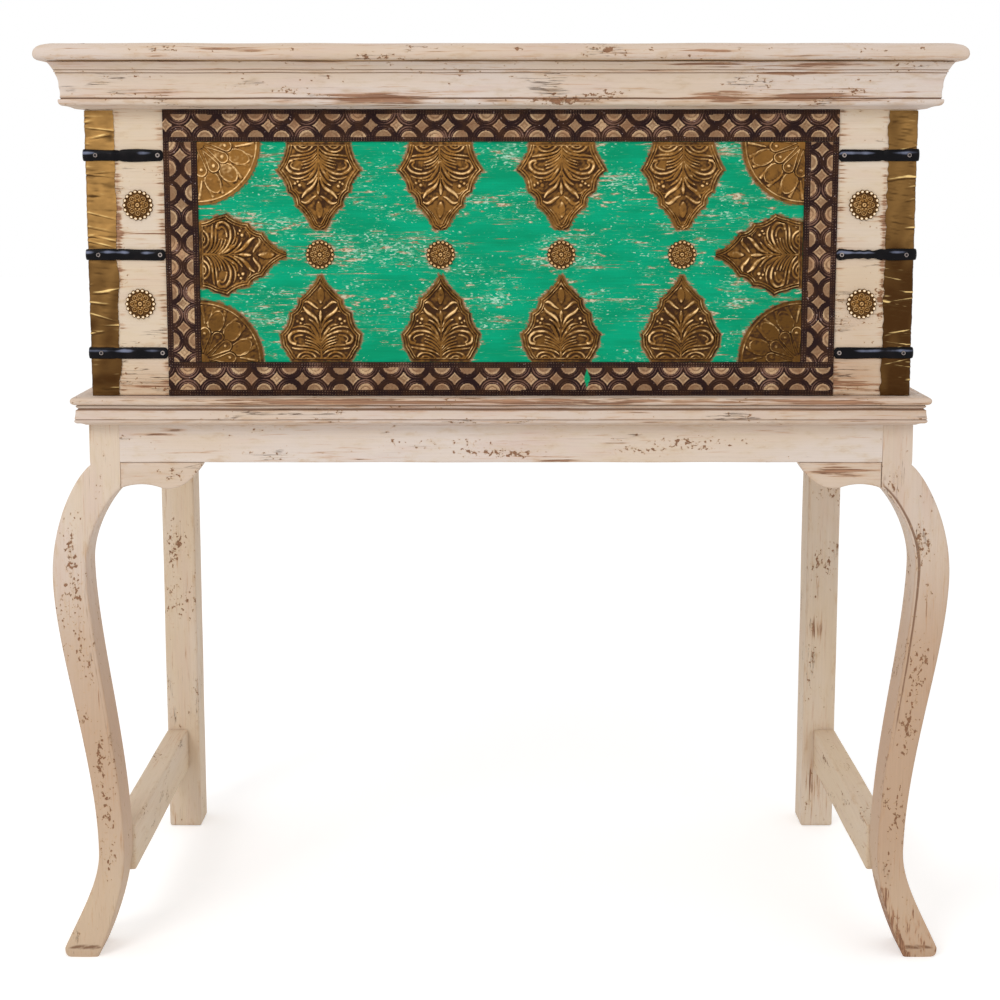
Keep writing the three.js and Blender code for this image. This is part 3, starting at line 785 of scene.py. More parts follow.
def moulding(name, corners, seed, **wear):
    """Moulding in three mitred lengths: a closed section carried along the way round the trunk."""
    section = profile(corners)
    overhang, level = section[:-1].T
    x, y, dx, dy, along = (column[:, None] for column in way_round(1.5).T)
    points, faces = skin(stacked(x + overhang * dx, y + overhang * dy, level))
    ends = [[along[i, 0], level.mean(), 0] for i in (0, -1)]
    grain = np.concatenate([stacked(along, level, overhang).reshape(-1, 3), ends])
    ridge = filled(np.tile(convexity(section)[:-1], len(x)), points)
    marks = wear_marks(name, points, ridge, **wear)
    dress(name, uneven(points, 0.22, 90, seed), faces, CREAM, marks=marks, grain=shifted(grain, seed))


def moulded_board(name, corners, body, seed, wobble, **wear):
    """Board with a moulded edge: every point of the section is a closed ring round the board, and rings
    drawn in towards the middle close its two faces."""
    section = profile(corners)
    s = np.linspace(1, -1, 120)[1:-1]
    back = stacked(s * HALF, BACK, s, 0, s * HALF)
    x, y, dx, dy, _ = np.concatenate([way_round(2.5, 260, 130), back]).T
    overhang, level = section.T[..., None]
    rings = stacked(x + overhang * dx, y + overhang * dy, level)
    middle = np.array([0, (FRONT + BACK) / 2, 0])
    shares = np.array([0.985, 0.96, 0.92, 0.85, 0.75, 0.6, 0.45, 0.3, 0.15])
    lower = drawn_in(rings[0], shares[::-1], middle, (1, 1, 0))
    upper = drawn_in(rings[-1], shares, middle, (1, 1, 0))
    points, faces = skin(np.concatenate([lower, rings, upper]))
    face = np.zeros(len(shares))
    ridge = np.repeat(np.concatenate([face, convexity(section), face]), len(x))
    marks = wear_marks(name, points, filled(ridge, points), **wear)
    side_run = np.abs(points[:, 0]) - HALF > (FRONT - points[:, 1]).clip(0)
    grain = np.where(side_run[:, None], points[:, [1, 2, 0]], points)
    dress(name, uneven(points, wobble, 110, seed), faces, CREAM, body=body, marks=marks,
          grain=shifted(grain, seed))


def build_mouldings():
    """Cornice with a bead, a hollow, two fine lines and a splayed top; lid slab with a round nose; stand
    top with a nose, a hollow and a lower bead."""
    low = CORNICE_BOTTOM
    moulding("cornice", [
        (0.3, low, 0), (8.0, low, 0), (17.6, low + 2.7, -0.5), (21.6, low + 6.4, 0.9),
        (21.3, low + 9.0, 0.3), (19.1, low + 10.0, -0.4), (19.9, low + 10.9, 0.1),
        (20.6, low + 21.0, -0.6), (23.6, low + 34.2, -1.0), (23.1, low + 34.9, 0), (24.4, low + 35.5, 0),
        (24.6, low + 36.9, 0.1), (24.2, low + 37.5, 0), (25.2, low + 38.0, 0), (30.1, low + 45.2, -0.3),
        (28.9, low + 45.9, 0.1), (0.3, SEAM, 0), (0.3, low, 0)], seed=11, tan=0.1, chips=0.15, rub=0.1)
    lid_low = node_box("lid_board")[0][2]
    moulded_board("lid_board", [
        (36.9, lid_low, 0), (40.7, lid_low + 3.6, 0.7), (40.9, lid_low + 7.4, 0.3),
        (38.6, lid_low + 12.2, 0.5), (33.2, lid_low + 15.4, 0.5), (25.5, lid_low + 17.0, 0.2)],
        "lid", seed=23, wobble=0.32, tan=0.3, chips=0.15, rub=0.15,
        more=lambda p: {"bare": (p[:, 2] < lid_low + 0.4) & (np.abs(p[:, 0]) < HALF + 20)})
    base = STAND_LOW
    moulded_board("stand_top", [
        (8.0, base, 0), (15.4, base + 2.4, -0.5), (17.2, base + 5.2, 0.5), (16.0, base + 6.2, -0.1),
        (16.9, base + 7.0, 0.1), (15.8, base + 15.6, -0.3), (13.2, base + 17.4, -0.2),
        (14.9, base + 18.5, 0.2), (15.5, base + 20.0, 0.4), (14.3, base + 20.8, -0.1),
        (17.8, base + 21.6, 0.1), (20.3, base + 24.6, 0.5), (19.8, base + 27.6, 0.3),
        (17.0, base + 29.0, 0.3)],
        "trunk", seed=37, wobble=0.2, tan=0.28, chips=0.1, rub=0.1)


# Legs and brackets

def curve(*controls, steps):
    """Line, quadratic or cubic curve over 2, 3 or 4 control points, by repeated shares between them."""
    t = np.linspace(0, 1, steps)[:, None]
    level = [np.array(c, float) for c in controls]
    while len(level) > 1:
        level = [a + (b - a) * t for a, b in zip(level, level[1:])]
    return level[0]


# Sizes of the front leg's curve, and the width of its post
POST_WIDTH = 31
SHOULDER_DROP = 3
KNEE_DROP = 118
KNEE_REACH = 43
KNEE_THINNING = 4.5
ANKLE_HEIGHT = 115
ANKLE_REACH = 4
ANKLE_INSET = 7.5
TOE_REACH = 42
HEEL_REACH = 37.5
TOE_RADIUS = 5
KNEE_INNER_DROP = 84
SEAM_DROP = 27
FOOT_FLARE = 8
FLARE_HEIGHT = 95
TOE_BEVEL = 12

# Wear of the front legs by height: spots down the middle, a split near the inner edge, and how tan
LEG_SPOTS = {
    "left": ([0, 60, 105, 240, 275, 340, 450, 500], [0.1, 0.35, 1.15, 1.2, 0.75, 1.1, 1.05, 0.2]),
    "right": ([0, 60, 150, 330, 360, 440, 480], [0.3, 0.4, 1.3, 1.3, 0.7, 1.0, 0.2]),
}
LEG_SPLIT = {
    "left": ([190, 220, 400, 430], [0.0, 0.7, 0.7, 0.0]),
    "right": ([200, 260, 360, 440, 480, 512, 524], [0.0, 1.0, 1.4, 2.4, 1.7, 1.3, 0.0]),
}
SHIN_TAN = ([0, 60, 150, 230, 350, 450, 575], [0.75, 0.6, 0.85, 1.0, 0.7, 0.1, 0.0])
LEG_TAN = {"left": 0.0, "right": 0.3}


def leg_edges():
    """Outer and inner edge of a front leg as matched points (reach, height): the outer edge runs from
    the post over the knee and the ankle to the toe, and the inner edge keeps step with it."""
    leg_top = node_box("front_leg_right")[1][2]
    apron_bottom = node_box("apron_front")[0][2]
    shoulder = apron_bottom - SHOULDER_DROP
    knee = shoulder - KNEE_DROP
    inner_seam = apron_bottom - SEAM_DROP
    knee_inner = inner_seam - KNEE_INNER_DROP
    inner_reach = KNEE_REACH - KNEE_THINNING
    shin = knee - ANKLE_HEIGHT
    calf = knee_inner - ANKLE_HEIGHT
    outer = np.concatenate([
        curve((0, leg_top), (0, shoulder), steps=10)[:-1],
        curve((0, shoulder), (0.37 * KNEE_REACH, shoulder - 0.1 * KNEE_DROP),
              (KNEE_REACH, knee + 0.47 * KNEE_DROP), (KNEE_REACH, knee), steps=34)[:-1],
        curve((KNEE_REACH, knee), (KNEE_REACH, knee - 0.27 * shin),
              (ANKLE_REACH, ANKLE_HEIGHT + 0.35 * shin), (ANKLE_REACH, ANKLE_HEIGHT), steps=70)[:-1],
        curve((ANKLE_REACH, ANKLE_HEIGHT), (ANKLE_REACH, 0.7 * ANKLE_HEIGHT),
              (0.62 * TOE_REACH, 0.4 * ANKLE_HEIGHT), (TOE_REACH, 2 * TOE_RADIUS), steps=34)[:-1],
        curve((TOE_REACH, 2 * TOE_RADIUS), (TOE_REACH + 1, 0), (TOE_REACH - TOE_RADIUS, 0), steps=8)])
    inner = np.concatenate([
        curve((0, leg_top), (0, inner_seam), steps=10)[:-1],
        curve((0, inner_seam), (0.5 * inner_reach, inner_seam - 0.2 * KNEE_INNER_DROP),
              (inner_reach, knee_inner + 0.37 * KNEE_INNER_DROP), (inner_reach, knee_inner), steps=34)[:-1],
        curve((inner_reach, knee_inner), (inner_reach, knee_inner - 0.24 * calf),
              (ANKLE_INSET, ANKLE_HEIGHT + 0.32 * calf), (ANKLE_INSET, ANKLE_HEIGHT), steps=70)[:-1],
        curve((ANKLE_INSET, ANKLE_HEIGHT), (ANKLE_INSET, 0.65 * ANKLE_HEIGHT),
              (0.64 * HEEL_REACH, 0.26 * ANKLE_HEIGHT), (HEEL_REACH, 0), steps=41)])
    return outer, inner


def leg_wear(name, points, ridge, from_inner, across):
    """Marks of a front leg: a chain of spots down its face, a split near its inner edge, a dark line over
    the toe's bevel, and paint that is tan over the shin and turns to ivory at the foot."""
    hand = name.split("_")[-1]
    front = node_box(name)[0][1]
    level = points[:, 2]
    face = points[:, 1] < front + 4
    toe_line = np.exp(-((level - TOE_BEVEL) / 1.8) ** 2) * (points[:, 1] < front + 12)
    split = np.exp(-((from_inner - 3.2) / 1.2) ** 2) * face
    ridge = ridge - 1.1 * toe_line - split * np.interp(level, *LEG_SPLIT[hand])
    chain = 0.35 + 0.65 * np.exp(-((across - 0.1) / 0.5) ** 2)
    chips = np.interp(level, *LEG_SPOTS[hand]) * chain
    tan = np.interp(level, *SHIN_TAN) + LEG_TAN[hand] * face + 0.15 * (from_inner < 0.5)
    ivory = np.interp(level, [60, 260], [0.6, 0.1])
    marks = wear_marks(name, points, ridge, tan.clip(0, 1.1), chips, ivory=ivory)
    if hand == "right":
        marks["rub"] += 0.8 * ((from_inner < 8) & (level < 75)) + np.interp(level, [40, 60], [0.5, 0])
    return marks


def front_leg(hand, side):
    """Cabriole leg: at each level a rounded rectangle spans from the inner to the outer edge and from
    the front to the back of the leg. The foot flares forward and is bevelled at the floor."""
    name = f"front_leg_{hand}"
    low, high = node_box(name)
    apron_low, apron_high = node_box(f"apron_{hand}")
    post_outer = max(abs(apron_low[0]), abs(apron_high[0]))
    post_low = apron_low[2] - SEAM_DROP
    outer, inner = leg_edges()
    outer = outer + [post_outer, 0]
    inner = inner + [post_outer - POST_WIDTH, 0]
    section = rounded_section((14, 10, 14, 10), 5)
    half_width = np.linalg.norm(outer - inner, axis=1)[:, None] / 2
    half_depth = (high[1] - low[1]) / 2
    post = (inner[:, 1] > post_low)[:, None]
    post_radius, leg_radius = 0.5, 2.6
    radius = np.where(post, post_radius, leg_radius)
    middle = ((outer + inner) / 2)[:, None]
    reach = ((outer - inner) / (2 * half_width))[:, None]
    u = (half_width - radius) * section[:, 0] + radius * section[:, 2]
    v = (half_depth - radius) * section[:, 1] + radius * section[:, 3]
    level = (middle[..., 1] + u * reach[..., 1]).clip(0)
    swell = 0.5 * ((post_low - level) / 40).clip(0, 1)
    crown = swell * (1 - section[:, 0] ** 2) * (section[:, 3] < -0.99)
    flare = FOOT_FLARE * ((FLARE_HEIGHT - level) / FLARE_HEIGHT).clip(0, 1) ** 1.6
    bevel = 0.32 * (TOE_BEVEL - level).clip(0)
    forward = (1 - v / half_depth) / 2
    y = (low[1] + high[1]) / 2 + v - crown - (flare - bevel) * forward
    points, faces = skin(stacked(side * (middle[..., 0] + u * reach[..., 0]), y, level))
    away = np.maximum(half_width - np.abs(u), half_depth - np.abs(v)) + 20 * post
    marks = leg_wear(name, points, filled(np.exp(-away.clip(0) / 3.0), points),
                     filled(u + half_width, points), filled(u / half_width, points))
    points = uneven(points, 0.2, 120, seed_of(name))
    points[:, 2] = points[:, 2].clip(0)
    dress(name, points, faces, CREAM, 2, marks=marks)


def slab(name, outline, y0, y1, radius, **wear):
    """Plank cut to an outline in x and z: the outline is drawn in along its normals by a quarter round
    at the front and at the back."""
    tangent = np.roll(outline, -1, axis=0) - np.roll(outline, 1, axis=0)
    inward = np.stack([-tangent[:, 1], tangent[:, 0]], axis=-1)
    inward /= np.linalg.norm(inward, axis=1, keepdims=True)
    middle = outline.mean(axis=0)
    inward *= np.sign(((middle - outline) * inward).sum())
    bend = np.linspace(0, np.pi / 2, 5)
    drawn = radius * (1 - np.sin(bend))
    deep = radius * (1 - np.cos(bend))
    drawn = np.concatenate([drawn, [0, 0], drawn[::-1]])
    depth = np.concatenate([y0 + deep, [y0 + 0.35 * (y1 - y0), y0 + 0.7 * (y1 - y0)], y1 - deep[::-1]])
    border = outline + drawn[:, None, None] * inward
    rings = stacked(border[..., 0], depth[:, None], border[..., 1])
    centre = np.array([middle[0], 0, middle[1]])
    shares = np.array([0.12, 0.35, 0.6, 0.8, 0.92])
    points, faces = skin(np.concatenate([
        drawn_in(rings[0], shares, centre, (1, 0, 1)), rings,
        drawn_in(rings[-1], shares[::-1], centre, (1, 0, 1))]))
    ridge = [0, 0, 0, 0, 0.3] + [0.8] * 5 + [0]
    ridge = filled(np.repeat(ridge + ridge[::-1], len(outline)), points)
    marks = wear_marks(name, points, ridge, **wear)
    dress(name, uneven(points, 0.15, 90, seed_of(name)), faces, CREAM, 0, marks=marks)


def bracket(hand, side):
    """Scrolled bracket: straight against the leg and the apron, a lobe, then a curve to its tip."""
    name = f"knee_bracket_{hand}"
    low, high = node_box(name)
    root = max(abs(low[0]), abs(high[0]))
    tip = min(abs(low[0]), abs(high[0]))
    foot = high[2] - 26.7
    lobe, arch = 43, 4
    edge = np.concatenate([
        curve((tip, high[2]), (root, high[2]), steps=40)[:-1],
        curve((root, high[2]), (root, foot), steps=14)[:-1],
        curve((root, foot), (root - lobe / 2, foot + 2 * arch), (root - lobe, foot), steps=20)[:-1],
        curve((root - lobe, foot), (tip + 0.42 * lobe, foot - arch), (tip, high[2]), steps=26)[:-1]])
    slab(name, edge * [side, 1], low[1], high[1], 1.5, tan=0.25)


# Front board and the ornaments' outlines

def leaf_half_width(y):
    """Half width of a leaf at a distance y from its root: hollow edges between five cusps."""
    cusps = [(33, 0), (44, 28.2), (32.1, 50.2), (22.9, 64.2), (4, 88)]
    path = []
    for (x0, y0), (x1, y1) in zip(cusps, cusps[1:]):
        pull = 6 / math.hypot(x1 - x0, y1 - y0)
        bend = ((x0 + x1) / 2 - pull * abs(y1 - y0), (y0 + y1) / 2 - pull * abs(x1 - x0))
        path.append(curve((x0, y0), bend, (x1, y1), steps=20))
    path = np.concatenate(path)
    return np.interp(y, path[:, 1], path[:, 0])


# Each row's leaves are cut a little differently: width over the common outline at heights of a leaf
LEAF_CUT = {
    "top": ([0, 28, 50, 66, 76, 85, 87, 88], [0.94, 0.98, 1.0, 1.03, 1.25, 1.6, 1.4, 0.9]),
    "bottom": ([0, 5, 15, 27, 46, 62, 75, 88], [0.88, 0.98, 1.06, 0.93, 0.95, 0.96, 1.0, 0.5]),
    "side": ([0, 15, 28, 50, 70, 88], [1.0, 1.03, 0.96, 1.0, 1.0, 0.75]),
}
LEAF_WIDTH = {"leaf_top_3": 1.06, "leaf_bottom_1": 1.03, "leaf_bottom_2": 0.98, "leaf_top_2": 1.01}


def leaf_border(name, y):
    """Half width of one leaf: the common outline, cut as its row is and a little unevenly."""
    y = np.asarray(y, float)
    rough = 1 + 0.02 * waves(on_axis(y, 2), 22, seed_of(name) + 31)
    cut = np.interp(y, *LEAF_CUT[name.split("_")[1]]) * LEAF_WIDTH.get(name, 1.0)
    return leaf_half_width(y) * cut * rough


# Length of a leaf, radius of a corner leaf, and radius from which a rosette's brown edge is measured
LEAF_LENGTH = 88.0
CORNER_RADIUS = 63.0
ROSETTE_RADIUS = 13.0


def leaf_places():
    """Every leaf's root x, root z, and the directions of its own x and y in the front plane."""
    places = {}
    for i in range(1, 5):
        for row, up in (("top", -1), ("bottom", 1)):
            low, high = node_box(f"leaf_{row}_{i}")
            root_z = high[2] if up < 0 else low[2]
            places[f"leaf_{row}_{i}"] = ((low[0] + high[0]) / 2, root_z, (up, 0), (0, up))
    for hand, side in HANDS:
        low, high = node_box(f"leaf_side_{hand}")
        root_x = side * max(abs(low[0]), abs(high[0]))
        places[f"leaf_side_{hand}"] = (root_x, (low[2] + high[2]) / 2, (0, side), (-side, 0))
    return places


def corner_places():
    """Every corner leaf's corner x and z, and the directions of its own x and y in the front plane."""
    places = {}
    for hand, side in HANDS:
        for level, up in (("lower", 1), ("upper", -1)):
            name = f"corner_leaf_{level}_{hand}"
            low, high = node_box(name)
            corner_x = side * max(abs(low[0]), abs(high[0]))
            corner_z = low[2] if up > 0 else high[2]
            places[name] = (corner_x, corner_z, (-side, 0), (0, up))
    return places


def beside_ornaments(points):
    """How near each point of the board is to an ornament's outline: 1 at it, fading over a few mm."""
    far, widest = 99.0, 75
    near = np.full(len(points), far)
    spots = points[:, [0, 2]]
    outlines = []
    y = np.linspace(0, LEAF_LENGTH, 90)
    for name, (x0, z0, across, up) in leaf_places().items():
        w = leaf_border(name, y)
        leaf = np.concatenate([np.stack([w, y], -1), np.stack([-w, y], -1)])
        outlines.append(np.array([x0, z0]) + leaf[:, :1] * across + leaf[:, 1:] * up)
    angle = np.linspace(0, np.pi / 2, 60)
    arc = CORNER_RADIUS * np.stack([np.cos(angle), np.sin(angle)], -1)
    for x0, z0, across, up in corner_places().values():
        outlines.append(np.array([x0, z0]) + arc[:, :1] * across + arc[:, 1:] * up)
    turn = np.linspace(0, 2 * np.pi, 40)
    circle = ROSETTE_RADIUS * np.stack([np.cos(turn), np.sin(turn)], -1)
    for i in range(1, 5):
        outlines.append(np.mean(node_box(f"rosette_field_{i}"), axis=0)[[0, 2]] + circle)
    for outline in outlines:
        centre = outline.mean(axis=0)
        close = np.abs(spots - centre).max(axis=1) < widest
        gap = np.linalg.norm(spots[close][:, None] - outline[None], axis=-1).min(axis=1)
        near[close] = np.minimum(near[close], gap)
    return np.exp(-near / 2.6) * (points[:, 1] < FRONT + 2)


# Parts of the green field worn most: x, z, half length, half height and amount
FIELD_WEAR = [
    (-240, 775, 60, 12, 1.2), (-170, 742, 90, 14, 1.6), (-230, 690, 60, 16, 1.3), (-120, 760, 60, 14, 1.0),
    (-60, 712, 60, 16, 1.4), (-150, 700, 30, 20, 1.3), (0, 740, 60, 14, 0.8), (5, 800, 40, 10, 1.0),
    (110, 770, 60, 12, 1.3), (60, 745, 50, 8, 1.2), (170, 742, 70, 12, 1.3), (245, 700, 50, 14, 0.8),
    (120, 700, 40, 14, 0.5), (-95, 800, 30, 10, 0.8), (235, 760, 60, 8, 0.9), (-5, 690, 40, 18, 0.9),
]
# Worn bands of the end panels, beside the strips and the cladding: distance from the middle, half width
# and amount
PANEL_BANDS = ((FIELD_HALF + 36.5, 6, 0.65), (HALF - 31, 4, 0.45))


def front_wear(points):
    """Worn bands of the end panels, brown wood beside the ornaments, and the worn parts of the field."""
    band = np.zeros(len(points))
    for x, width, amount in PANEL_BANDS:
        band += amount * np.exp(-((np.abs(points[:, 0]) - x) / width) ** 2)
    band *= 0.8 + 0.4 * waves(points, 20, 5)
    return {"rub": band, "halo": beside_ornaments(points), "wear": patches(points, FIELD_WEAR)}


def build_front_board():
    """Front board: a fine grid on its face carries the wear of the green paint and of the end panels."""
    beam("front_board", 0, FRONT_PAINT, 2.0, 2.2, (3, 120, 3, 20), ivory=0.35, chips=0.1, more=front_wear)


# Embossed strips

# Radius of a strip's half discs, and how far the rail along the border covers their middles
DISC_RADIUS = 8.1
DISC_DROP = 1.7


def ring_pattern(s, t, width, pitch):
    """Height and tone of the strip at s along and t across it. Half discs stand on both borders, each
    in a band with two ridges that touches its neighbours, and four-point diamonds lie between."""
    rail = width / 2 - pitch / 2 + DISC_DROP
    from_middle = np.abs(t - width / 2)
    to_rail = width / 2 - from_middle
    beside = (s + pitch / 2) % pitch - pitch / 2
    centre = rail - DISC_DROP
    radius = np.hypot(beside, to_rail - centre)
    height = np.full(s.shape, 0.5)
    tone = np.zeros(s.shape)
    band = (radius > DISC_RADIUS) & (radius < pitch / 2 + 0.5)
    ridges = 0.5 - 0.5 * np.cos((radius - DISC_RADIUS) * 2 * np.pi / ((pitch / 2 - DISC_RADIUS) / 2))
    height = np.where(band, 0.75 + 0.55 * ridges, height)
    disc = radius <= DISC_RADIUS
    rim = np.exp(-((radius - DISC_RADIUS + 0.8) / 0.5) ** 2)
    inner = np.exp(-((radius - 0.62 * DISC_RADIUS) / 0.5) ** 2)
    height = np.where(disc, 0.9 + 0.3 * rim - 0.35 * inner, height)
    tone = np.where(disc, 1.0, tone)
    aside = pitch / 2 - np.abs(beside)
    star = (np.abs(aside) ** 0.8 + from_middle ** 0.8) ** (1 / 0.8)
    diamond = star < 7.2
    edge = np.exp(-((star - 6.2) / 0.7) ** 2)
    height = np.where(diamond, 0.85 + 0.35 * edge - 0.2 * np.exp(-((star - 3.2) / 0.8) ** 2), height)
    tone = np.where(diamond, 1.0, tone)
    border = to_rail < rail
    bead_row = np.minimum(np.abs(to_rail - 0.28 * rail), np.abs(to_rail - 0.72 * rail))
    bead = np.cos(s * 2 * np.pi / 2.6).clip(0) * np.exp(-(bead_row / 0.6) ** 2)
    lip = np.exp(-((to_rail - rail + 0.4) / 0.4) ** 2)
    height = np.where(border, 0.8 + 0.35 * bead + 0.25 * lip, height)
    tone = np.where(border, 0.62 * bead, tone)
    return height, tone


def strip(name, along_x, pitch, phase):
    """Embossed strip in the place of its solid: a plate whose front follows the ring pattern."""
    low, high = node_box(name)
    step = 0.7
    xs = np.linspace(low[0], high[0], int((high[0] - low[0]) / step))
    zs = np.linspace(low[2], high[2], int((high[2] - low[2]) / step))
    x, z = np.meshgrid(xs, zs)
    s, t = (x, z - low[2]) if along_x else (z, x - low[0])
    width = high[2] - low[2] if along_x else high[0] - low[0]
    flat = stacked(x, 0.0, z)
    seed = seed_of(name)
    drift = 0.5 * waves(flat, 70, seed)
    sway = 0.35 * waves(flat, 50, seed + 9)
    height, tone = ring_pattern(s - phase + drift, t + sway, width, pitch)
    worn = 0.5 + 0.5 * waves(flat, 31, seed + 6)
    height = height * (1 + 0.25 * waves(flat, 23, seed + 3)) + 0.12 * waves(flat, 60, 5)
    points, faces = plate(stacked(x, high[1] - 0.6 - height.clip(0.2, 1.9), z), high[1])
    # Brightness mark: higher where the relief stands high, with a painted highlight on upper flanks and
    # painted shade on lower ones, plus slow random wear.
    shine = (height - 0.5) / 0.9 + 0.25 * (worn - 0.5) + 0.3 * upper_flank(height, x, z)
    marks = {"tone": filled(tone, points), "raise": filled(shine, points)}
    dress(name, points, faces, TRIM, 0 if along_x else 2, marks=marks)


def build_strips():
    """Strips round the field: the length of one ring of each one's pattern, and where a ring starts."""
    strip("trim_top", True, 25.7, 10.7)
    strip("trim_bottom", True, 25.96, -8.5)
    strip("trim_left", False, 24.85, FIELD_MIDDLE + 24.85 / 2)
    strip("trim_right", False, 25.4, FIELD_MIDDLE - 9.8)


# Embossed leaves

def stroke(x, y, controls, width, height, taper):
    """Raised stroke along a curve: height times a round profile of the distance to the curve over its
    half width, which narrows towards the curve's start or both ends as taper says."""
    path = curve(*controls, steps=30)
    share = np.linspace(0, 1, len(path))
    shape = {"leaflet": np.sin(np.pi * (0.08 + 0.84 * share)) ** 0.6, "rib": 0.55 + 0.45 * share,
             "line": np.ones(len(path))}[taper]
    gap = np.hypot(x[..., None] - path[:, 0], y[..., None] - path[:, 1]) / (width * shape)
    return height * (1 - gap.min(axis=-1) ** 2).clip(0) ** 0.7


def dome(gap, height):
    """Half round of a gap that is 1 at its border."""
    return height * np.sqrt((1 - gap ** 2).clip(0))


# Ribs on half a leaf, mirrored to the other half: points of the curve, half width, height and taper
LEAF_RIBS = [
    (((0, 2), (0, 44)), 1.4, 0.9, "line"),
    (((24.5, 3.5), (23, 11.5), (10, 12.5), (5.5, 3.5)), 1.4, 1.1, "line"),
    (((20.5, 3), (19, 7), (13, 7.5), (10.5, 3)), 1.1, 0.9, "line"),
    (((29.5, 14.5), (20, 12), (8, 15), (1.6, 6.5)), 1.7, 1.1, "leaflet"),
    (((29, 18), (19, 15.5), (8, 18.5), (1.4, 9.5)), 1.3, 0.9, "leaflet"),
    (((16, 20), (10, 18.5), (5, 17), (1, 11)), 1.4, 1.0, "leaflet"),
    (((16.5, 23), (9, 21.5), (4, 19.5), (1, 14)), 1.3, 1.1, "leaflet"),
    (((15.5, 26.2), (8, 24.5), (4, 21.5), (0.8, 17)), 1.4, 1.1, "leaflet"),
    (((27, 18.5), (34.5, 19), (34, 27.5), (27, 30.5)), 2.0, 1.4, "line"),
    (((27, 30.5), (20, 33.5), (8, 31), (1, 20)), 1.7, 1.3, "line"),
    (((26, 20.5), (30, 23.5), (27, 27), (19, 27.5)), 1.2, 0.9, "line"),
    (((28.5, 34.5), (20, 39), (12, 35.5), (8, 30)), 1.4, 1.1, "leaflet"),
    (((9.5, 35), (6.5, 32), (3.8, 29), (1.6, 23)), 2.0, 1.3, "leaflet"),
    (((17.5, 38.5), (12, 38.5), (8, 36.5), (5, 32)), 1.4, 1.0, "leaflet"),
    (((12, 43), (7.5, 40.5), (3, 37), (0.9, 30)), 1.8, 1.2, "leaflet"),
    (((17.3, 55.5), (13.5, 47), (5.5, 49.5), (1.6, 36)), 2.4, 1.5, "leaflet"),
    (((0, 41), (0, 52)), 2.3, 1.4, "leaflet"),
    (((18, 59.5), (11, 64.5), (10, 57), (3, 54.5)), 2.0, 1.3, "leaflet"),
    (((22.5, 51), (17.5, 57), (24, 63), (12, 68)), 1.2, 1.0, "line"),
    (((12, 68), (7, 72), (4, 78), (1.5, 83)), 1.2, 1.0, "line"),
    (((0, 61), (0, 75)), 3.9, 1.5, "leaflet"),
    (((26, 47.5), (22, 49), (21, 53), (17, 51)), 1.2, 0.9, "leaflet"),
]
# Beads on half a leaf: x, y, radius and height
LEAF_BEADS = [
    (27.6, 43.5, 1.7, 1.2), (24, 41.6, 1.6, 1.1), (19.5, 43.8, 2.0, 1.3), (21, 39.6, 1.6, 1.1),
    (4.3, 2.8, 1.5, 1.0), (28.6, 7, 1.4, 0.9), (15.8, 3.2, 1.3, 0.9),
]
# How far each plate is darkened towards tarnish, how crisp its ribs are, and how bright its ground is. The
# differences between plates in darkening and in ground brightness are painted shade and light: plates lower
# and further right are darker, and those near the upper left brighter, as light falls from the upper left.
LEAF_LOOK = {
    "leaf_top_1": (0.15, 1.1, 0.33), "leaf_top_2": (0.0, 1.1, 0.34), "leaf_top_3": (0.05, 1.0, 0.33),
    "leaf_top_4": (0.2, 1.0, 0.33), "leaf_bottom_1": (0.4, 1.15, 0.31), "leaf_bottom_2": (0.6, 1.15, 0.3),
    "leaf_bottom_3": (0.5, 1.1, 0.3), "leaf_bottom_4": (0.65, 1.1, 0.3),
    "leaf_side_left": (0.25, 1.2, 0.32), "leaf_side_right": (0.5, 1.15, 0.31),
    "corner_leaf_upper_left": (0.0, 0.9, 0.55), "corner_leaf_upper_right": (0.25, 1.0, 0.4),
    "corner_leaf_lower_left": (0.7, 0.85, 0.35), "corner_leaf_lower_right": (1.0, 0.85, 0.33),
}
# Width of the rim along a leaf's outline
LEAF_RIM = 5.9
# Angles of the petals of a corner leaf
PETALS = (8, 32, 57, 82)


def leaf_relief(x, y, shifted_x, shifted_y, name):
    """Height of a leaf's sheet: a slow dome, the ribs and beads, and two rims that follow the outline
    at 2.2 and 4.7 mm from it."""
    run = np.linspace(0, LEAF_LENGTH, 150)
    inside = np.hypot(np.abs(x)[..., None] - leaf_border(name, run), y[..., None] - run).min(axis=-1)
    inside = np.minimum(inside, y + 1.5)
    side = np.abs(shifted_x)
    art = np.zeros(x.shape)
    for controls, width, height, taper in LEAF_RIBS:
        art = np.maximum(art, stroke(side, shifted_y, controls, width, height, taper))
    for bx, by, radius, height in LEAF_BEADS:
        art = np.maximum(art, dome(np.hypot(side - bx, shifted_y - by) / radius, height))
    rims = np.exp(-((inside - 2.2) / 0.75) ** 2) + 0.9 * np.exp(-((inside - 4.7) / 0.75) ** 2)
    art = np.where(inside < LEAF_RIM, rims * (y > 3), art)
    return 1.2 * np.sqrt((inside / 26).clip(0, 1)), art


def stand_out(height, cells, closed=False):
    """How far each point of a grid of heights stands out from the mean of the points round it."""
    weight = np.hanning(2 * cells + 3)[1:-1]
    mean = height
    for axis, way in ((0, "edge"), (1, "wrap" if closed else "edge")):
        pad = [(cells, cells) if i == axis else (0, 0) for i in (0, 1)]
        wide = np.pad(mean, pad, way)
        mean = np.apply_along_axis(np.convolve, axis, wide, weight / weight.sum(), "valid")
    return height - mean


